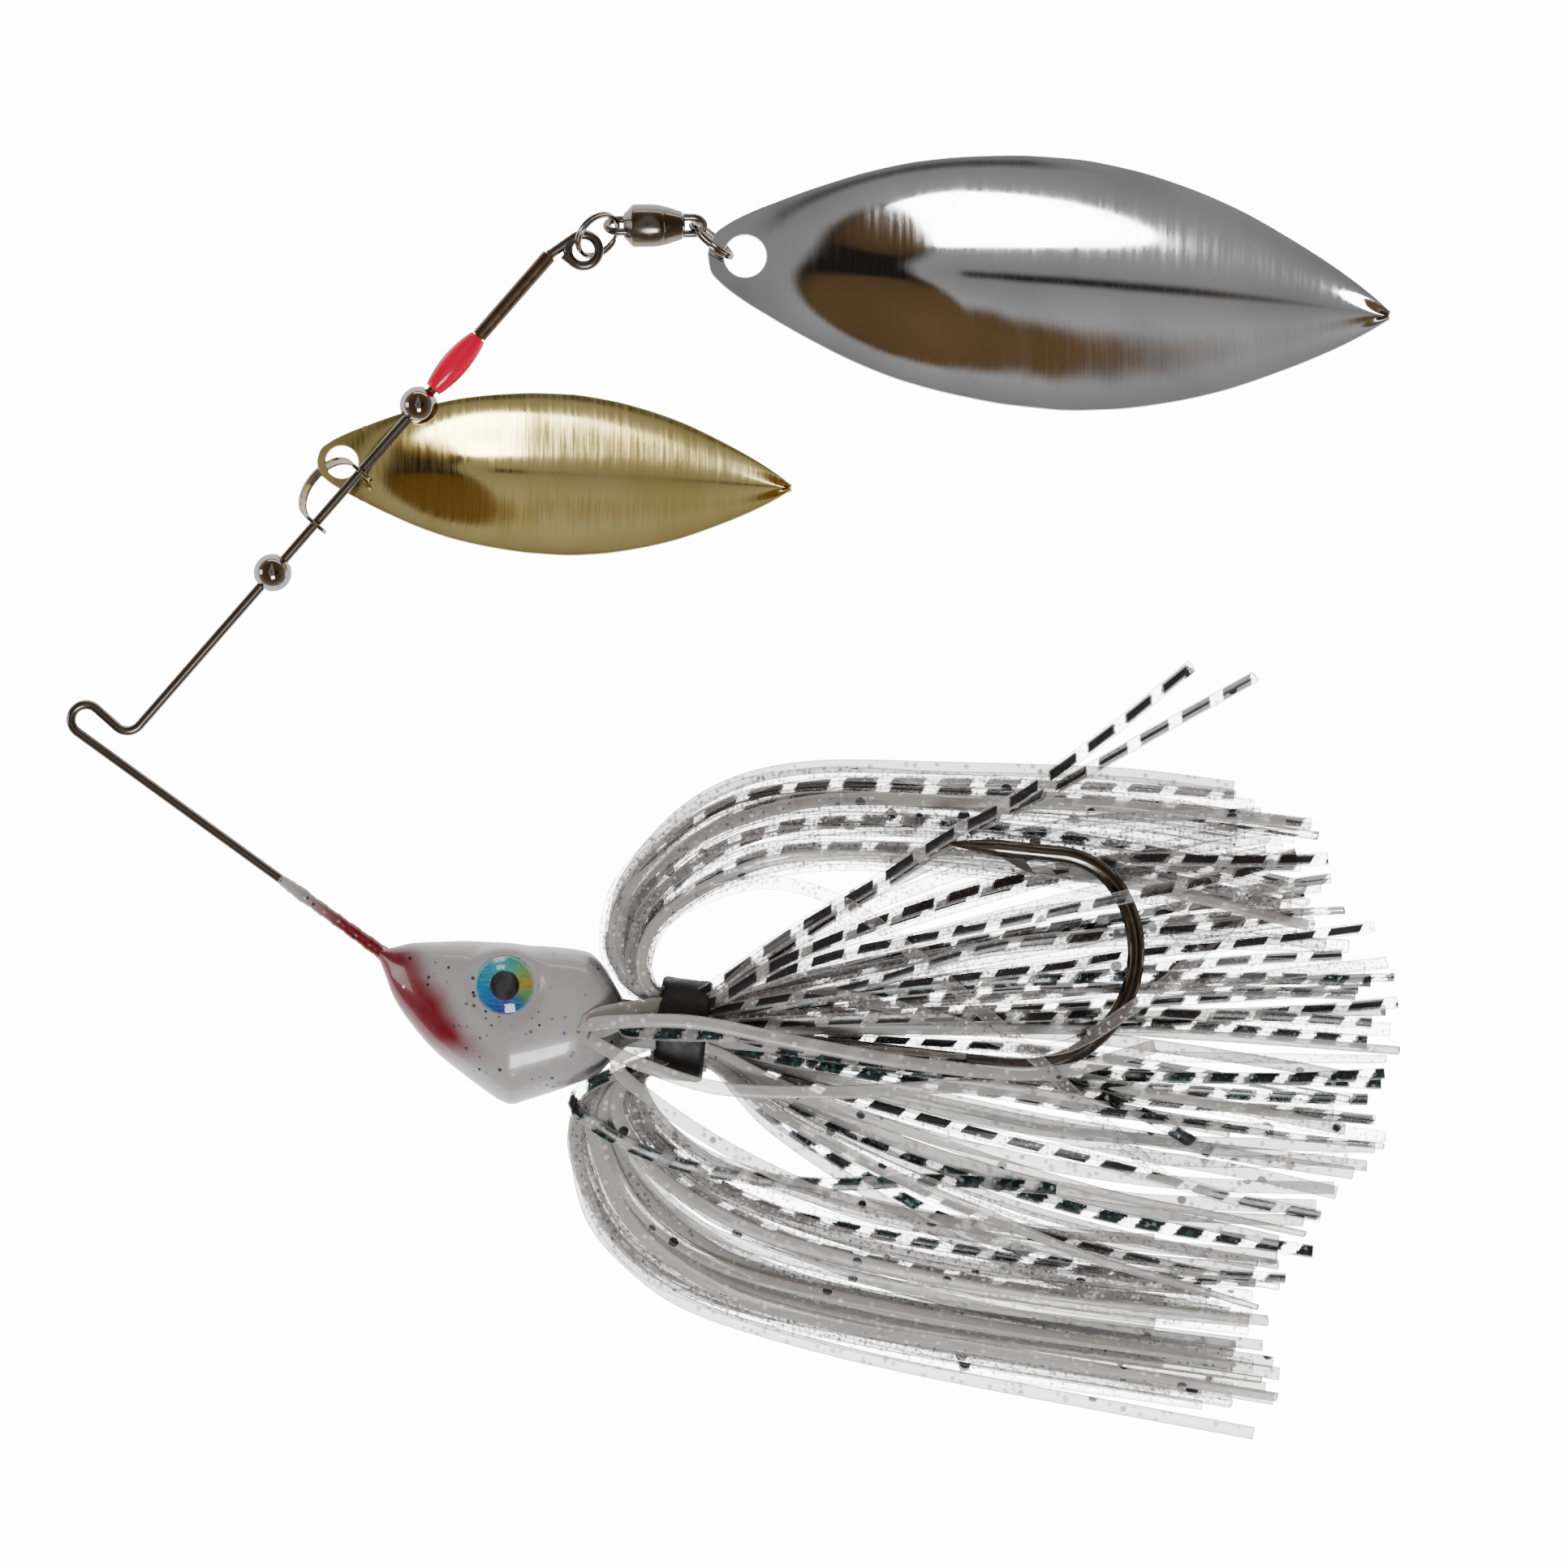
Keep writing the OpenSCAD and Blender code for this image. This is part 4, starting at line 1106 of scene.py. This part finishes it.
def cut_to(ctrl, x_end):
    """Shorten or lengthen the last stretch so that the strand ends near x_end."""
    c = list(ctrl)
    x1, y1 = c[-2]
    x2, y2 = c[-1]
    k = (x_end - x1) / (x2 - x1)
    k = max(0.25, min(1.6, k))
    c[-1] = (x1 + (x2 - x1) * k, y1 + (y2 - y1) * k)
    return c


def with_z(ctrl, z0, zm, zt, jit=0.35):
    n = len(ctrl)
    out = []
    for i, (x, y) in enumerate(ctrl):
        u = i / (n - 1)
        if u < 0.35:
            w = u / 0.35
            w = w * w * (3 - 2 * w)
            z = z0 * (1 - w) + zm * w
        else:
            w = (u - 0.35) / 0.65
            z = zm * (1 - w) + zt * w
        j = jit * min(1, u * 3)
        out.append((x + rng.uniform(-j, j), y + rng.uniform(-j, j), z + rng.uniform(-j, j) * 0.6))
    return out


def pick_kind(weights):
    r = rng.random() * sum(w for _, w in weights)
    for k, w in weights:
        r -= w
        if r <= 0:
            return k
    return weights[-1][0]


def fold_set(A, B, n, weights, group, xr, spread, zb=1.0, fixed=()):
    for i in range(n):
        q = (i + 0.5) / n
        q = q ** 1.15
        s = math.sin(i * 2.399 + 0.7) * 0.95
        c = lerp_ctrl(A, B, q)
        c = [(x, y) for x, y in c]
        # each strand wanders a little more towards its tip
        wander = rng.uniform(-spread, spread)
        m = len(c)
        amp, fq, ph = rng.uniform(-1.2, 1.2), rng.uniform(0.6, 1.3), rng.uniform(0, 6.28)
        inward = 1 if A[6][1] < -30 else -1
        c = [(x + rng.uniform(-0.4, 0.4) * (k / m), y + wander * (k / m) ** 1.7 + (amp * math.sin(6.28 * fq * k / m + ph) + inward * abs(amp) * 0.6) * min(1, k / m * 1.6)) for k, (x, y) in enumerate(c)]
        c = cut_to(c, rng.uniform(*xr))
        zr = WZ + 3.1 * s
        ctrl = with_z(c, zr, WZ + 5.0 * s * zb, max(0.7, 4.9 + 4.0 * s), 0.3)
        kind_ = dict(fixed).get(i, pick_kind(weights))
        add_strand(ctrl, kind_, group, rng.uniform(1.15, 1.45), rng.uniform(0.5, 0.68), rng.uniform(-0.7, 0.7), rng.uniform(-1.3, 1.3))


fold_set(U0, U1, 29, [("clear", 26), ("pearl", 2)], "upper", (50, 60), 2.4, 1.0, ((1, "bars"), (5, "bars"), (13, "bars"), (18, "spark"), (23, "bars")))
fold_set(D0, D1, 40, [("pearl", 24), ("clear", 14)], "lower", (42, 56), 1.9, 1.0, ((28, "bars"), (35, "spark")))

# rear fan
TIPS = [(57, -2.5), (61, -8.5), (64, -14), (66.5, -18.5), (69, -22.8), (66.5, -29), (66, -34.5), (66.5, -37.5), (61, -43.5), (58, -49.5), (53, -55)]
NF = 62
for i in range(NF):
    q = (i + 0.5) / NF
    f = q * (len(TIPS) - 1)
    a = int(f)
    tx = TIPS[a][0] * (1 - f + a) + TIPS[a + 1][0] * (f - a)
    ty = TIPS[a][1] * (1 - f + a) + TIPS[a + 1][1] * (f - a)
    s = math.sin(i * 2.399 + 2.0) * 0.95
    tx -= abs(rng.gauss(0, 3.6))
    y0 = -22.2 - 6.2 * q
    x0 = -6.0
    dxn, dyn = tx - x0, ty - y0
    bulge = rng.uniform(-2.6, 2.6) + (1.5 - 3.0 * q)
    c = [(x0, y0 + (0.5 - q) * -0.4), (-2.8, y0 + (ty - y0) * 0.03)]
    for u in (0.16, 0.34, 0.52, 0.70, 0.86):
        w = math.sin(math.pi * u)
        ease = u + 0.10 * math.sin(math.pi * u) * (1 if abs(q - 0.5) > 0.2 else 0.3)
        c.append((x0 + dxn * u, y0 + dyn * ease + bulge * w))
    c.append((tx, ty))
    ctrl = with_z(c, WZ + 3.1 * s, WZ + 4.2 * s, max(0.7, 5.0 + 4.0 * s), 0.25)
    if q < 0.3:
        w = [("clear", 8), ("bars", 7), ("spark", 2)]
    elif q < 0.62:
        w = [("clear", 7), ("bars", 6), ("spark", 7), ("pearl", 2)]
    else:
        w = [("clear", 4), ("bars", 2), ("spark", 2), ("pearl", 10)]
    add_strand(ctrl, pick_kind(w), "rear", rng.uniform(1.15, 1.45), rng.uniform(0.5, 0.68), rng.uniform(-0.9, 0.9), rng.uniform(-1.4, 1.4))

# single strands that cross the bundle: pearl ones over the collar, long barred strays, loose loops
SPECIAL = [
    ("pearl", [(-6, -22.6, 9.3), (-9.6, -22.6, 10.5), (-14.5, -23.4, 11.6), (-16.2, -24.6, 12.2), (-13.5, -24.2, 12.7), (-5, -24.2, 12.9), (6, -26.4, 12.2), (18, -28.6, 10.8), (31, -29.6, 8.8), (42, -27.0, 7.4)]),
    ("pearl", [(-6, -23.4, 9.6), (-10, -23.8, 10.6), (-13.8, -24.9, 11.8), (-15.0, -26.2, 12.4), (-10, -28.6, 12.8), (-2, -31.0, 12.0), (10, -31.4, 11.2), (24, -31.0, 9.6), (38, -33.5, 7.0), (50, -35.8, 4.8)]),
    ("pearl", [(-6, -26, 9.8), (-10, -26.6, 11.0), (-13.0, -28.4, 12.0), (-9.6, -31.8, 12.4), (-1, -37.5, 11.0), (10, -42.5, 9.0), (24, -45.5, 7.0), (40, -47.5, 5.0), (55, -49, 3.4)]),
    ("spark", [(-6, -27.6, 9.4), (-10.4, -28.6, 10.6), (-15.6, -30.6, 11.6), (-17.0, -33.0, 11.6), (-12, -36.6, 11.0), (-4, -39.4, 10.2), (8, -40.9, 9.4), (20, -40.6, 8.2), (32, -41.6, 6.4)]),
    ("spark", [(-6, -24.0, 9.7), (-10, -24.4, 10.8), (-12.6, -24.9, 11.7), (-8, -25.4, 12.8), (2, -25.8, 12.2), (14, -27.9, 11.0), (25, -29.2, 10.0), (38, -32.6, 7.8), (48, -38, 5.2)]),
    ("bars", [(-5.5, -22.2, 8.6), (-2.5, -20.4, 9.0), (5, -15.2, 9.6), (13, -10.4, 10.4), (20.5, -5.5, 10.9), (28, -1.4, 10.6), (37, 5.0, 9.6), (45.8, 12.0, 8.2)]),
    ("bars", [(-5.5, -22.8, 8.4), (-2.0, -21.0, 8.8), (6, -15.6, 9.4), (14.5, -10.2, 10.0), (22, -5.6, 10.2), (31, -1.0, 9.8), (42, 5.2, 8.8), (52.4, 10.9, 7.4)]),
    ("clear", [(-6, -22.4, 8.8), (-9.5, -20.6, 9.4), (-10.6, -16.6, 10.0), (-6.0, -12.6, 10.6), (2, -10.1, 10.9), (10.5, -12.4, 10.8), (19, -18.8, 10.4), (28, -26.5, 9.6), (36, -34, 8.2), (43, -40.5, 6.4)]),
    ("clear", [(-5.8, -24.0, 8.8), (-2.5, -23.2, 9.2), (8, -21.5, 10.0), (20, -24.0, 10.6), (31, -27.1, 10.6), (40, -22.6, 9.8), (48, -16.0, 9.0), (53.6, -11.0, 8.4)]),
    ("clear", [(-6, -28.2, 8.6), (-9.8, -29.4, 9.4), (-12.8, -33.0, 9.8), (-11.5, -40.2, 9.4), (-4, -46.6, 8.8), (6, -50.2, 8.2), (18, -51.8, 7.4), (30, -52.0, 6.6), (44, -50.4, 5.2)]),
    ("bars", [(-5.8, -23.0, 8.8), (-2.0, -21.6, 9.0), (10, -17.4, 9.4), (24, -14.8, 9.6), (38, -11.8, 9.4), (50, -9.2, 8.8), (56.4, -7.2, 8.2)]),
    ("bars", [(-5.8, -24.4, 9.0), (-2.0, -23.6, 9.2), (12, -20.6, 10.0), (26, -16.6, 10.2), (42, -15.2, 9.4), (57.0, -13.4, 8.0)]),
]
OVER = (0, 1, 5, 7, 8, 10)
for k_, (kind, pts) in enumerate(SPECIAL):
    add_strand(pts, kind, "cross", 1.4, 0.6, rng.uniform(-0.4, 0.4), rng.uniform(-0.8, 0.8), k_ in OVER)

GROUP_NODE = {"upper": "skirt_upper_fold", "lower": "skirt_lower_fold", "rear": "skirt_tail", "cross": "skirt_tail"}
for (g, kind), (V, F, UV) in sorted(groups.items()):
    make("strands_%s_%s" % (g, kind), V, F, [strand_m[kind]], "root", [GROUP_NODE[g]], angle=60, uvs=UV)

# under the collar: the gathered strand roots
parts = []
for k in range(34):
    a = 2 * math.pi * k / 34
    rr = 3.95
    pts = []
    for x in np.linspace(-2.9, 2.9, 8):
        r2 = rr - 0.25 * (abs(x) / 2.9) ** 2
        pts.append(tuple(COL + SD * x + SN * (r2 * math.cos(a)) + np.array([0, 0, 1]) * (r2 * math.sin(a))))
    parts.append(sweep(pts, circle_sec(0.38, 8)))
V, F = join(parts)
make("strand_roots", V, F, [strand_m["pearl"]], "root", ["skirt_tail"], angle=60, uvs=[(v[0], 0.5) for v in V])

# ------------------------------------------------------------------ floor, light and the room that the metal reflects
FLOOR_GLOW = 14.0
fm = Mat("floor_mat")
fm.set(Roughness=0.9, Specular_IOR_Level=0.1)
fv = fm.coords(1.0)
fn_ = fm.noise(fv, 30.0, 2.0)
fm.color(fm.mix(fn_, (0.93, 0.93, 0.93), (0.96, 0.96, 0.96)))
fm.set(Emission_Color=(1.0, 1.0, 1.0, 1), Emission_Strength=FLOOR_GLOW)
lp = fm.new("ShaderNodeLightPath")
fm.link(fm.maprange(lp.outputs["Is Camera Ray"], 0.0, 1.0, 1.3, FLOOR_GLOW), fm.b.inputs["Emission Strength"])
me = bpy.data.meshes.new("floor")
s = 1.2
me.from_pydata([(-s, -s, 0), (s, -s, 0), (s, s, 0), (-s, s, 0)], [], [(0, 1, 2, 3)])
me.materials.append(fm.m)
floor = bpy.data.objects.new("floor", me)
floor.location = (0, 0, -0.00005)
scene.collection.objects.link(floor)
floor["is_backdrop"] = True

world = bpy.data.worlds.new("world")
scene.world = world
world.use_nodes = True
wn, wl = world.node_tree.nodes, world.node_tree.links
bg = wn["Background"]
tcw = wn.new("ShaderNodeTexCoord")
sepw = wn.new("ShaderNodeSeparateXYZ")
wl.new(tcw.outputs["Generated"], sepw.inputs[0])


def wmath(op, a, b=None):
    m = wn.new("ShaderNodeMath")
    m.operation = op
    for i, v_ in enumerate((a, b)):
        if v_ is None:
            continue
        if isinstance(v_, (int, float)):
            m.inputs[i].default_value = v_
        else:
            wl.new(v_, m.inputs[i])
    return m.outputs[0]


def wramp(fac, stops):
    r = wn.new("ShaderNodeValToRGB")
    wl.new(fac, r.inputs["Fac"])
    fill_ramp(r.color_ramp.elements, stops)
    return r.outputs["Color"]


def wmix(fac, a, b):
    m = wn.new("ShaderNodeMix")
    m.data_type = "RGBA"
    for sock, v_ in ((m.inputs["Factor"], fac), (m.inputs[6], a), (m.inputs[7], b)):
        if isinstance(v_, (int, float)):
            sock.default_value = v_
        else:
            wl.new(v_, sock)
    return m.outputs[2]


wx, wy, wz = sepw.outputs
# straight up is the dark lens, round it a grey ceiling that brightens towards the walls
grey = wramp(wz, [(0.0, (0.80, 0.81, 0.83)), (0.30, (0.60, 0.61, 0.62)), (0.62, (0.62, 0.62, 0.62)), (0.86, (0.50, 0.50, 0.50)), (0.955, (0.42, 0.415, 0.41)), (0.9945, (0.36, 0.355, 0.35)), (0.9985, (0.13, 0.12, 0.115)), (1.0, (0.03, 0.028, 0.026))])
# to both sides stand warm brown surfaces
brown = wramp(wz, [(0.0, (0.50, 0.45, 0.40)), (0.45, (0.22, 0.13, 0.06)), (0.88, (0.15, 0.088, 0.038)), (0.945, (0.02, 0.013, 0.009)), (1.0, (0.015, 0.010, 0.008))])
black = wramp(wz, [(0.0, (0.40, 0.38, 0.36)), (0.70, (0.16, 0.12, 0.09)), (0.88, (0.03, 0.022, 0.016)), (1.0, (0.012, 0.010, 0.008))])


def wstep(v_, a, b):
    m = wn.new("ShaderNodeMapRange")
    m.interpolation_type = "SMOOTHSTEP"
    m.inputs[1].default_value = a
    m.inputs[2].default_value = b
    wl.new(v_, m.inputs[0])
    return m.outputs[0]


ends = wmath("ADD", wmath("MULTIPLY", wmath("ABSOLUTE", wx), 0.8), wmath("MULTIPLY", wmath("ABSOLUTE", wy), 0.35))
col_w = wmix(wstep(ends, 0.265, 0.33), grey, brown)
col_w = wmix(wmath("MULTIPLY", wstep(wx, 0.29, 0.36), wstep(wmath("MULTIPLY", wmath("ABSOLUTE", wy), -1.0), -0.26, -0.16)), col_w, black)
wl.new(col_w, bg.inputs["Color"])
bg.inputs["Strength"].default_value = 1.0


def area(name, loc, target, size, power, color=(1, 1, 1), size_y=None):
    ld = bpy.data.lights.new(name, "AREA")
    ld.energy = power
    ld.color = color
    ld.shape = "RECTANGLE"
    ld.size = size
    ld.size_y = size_y or size
    ob = bpy.data.objects.new(name, ld)
    ob.location = loc
    dirv = Vector(target) - Vector(loc)
    ob.rotation_euler = dirv.to_track_quat("-Z", "Y").to_euler()
    scene.collection.objects.link(ob)
    return ob


area("key", (0.05, -0.37, 0.60), (0.03, 0.0, 0), 0.22, 3.4, (1, 1, 1), 0.20)
area("fill_left", (-0.80, 0.05, 0.28), (0, 0, 0), 0.30, 1.2)
area("fill_far", (0.1, 0.75, 0.16), (0, 0, 0), 0.9, 1.0, (1, 1, 1), 0.08)

vis_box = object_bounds()


def plain(b):
    return [[float(c) for c in p] for p in b] if hasattr(b[0], "__len__") or hasattr(b[0], "x") else [float(c) for c in b]


{"cad": plain(cad_box), "visual": plain(vis_box)}
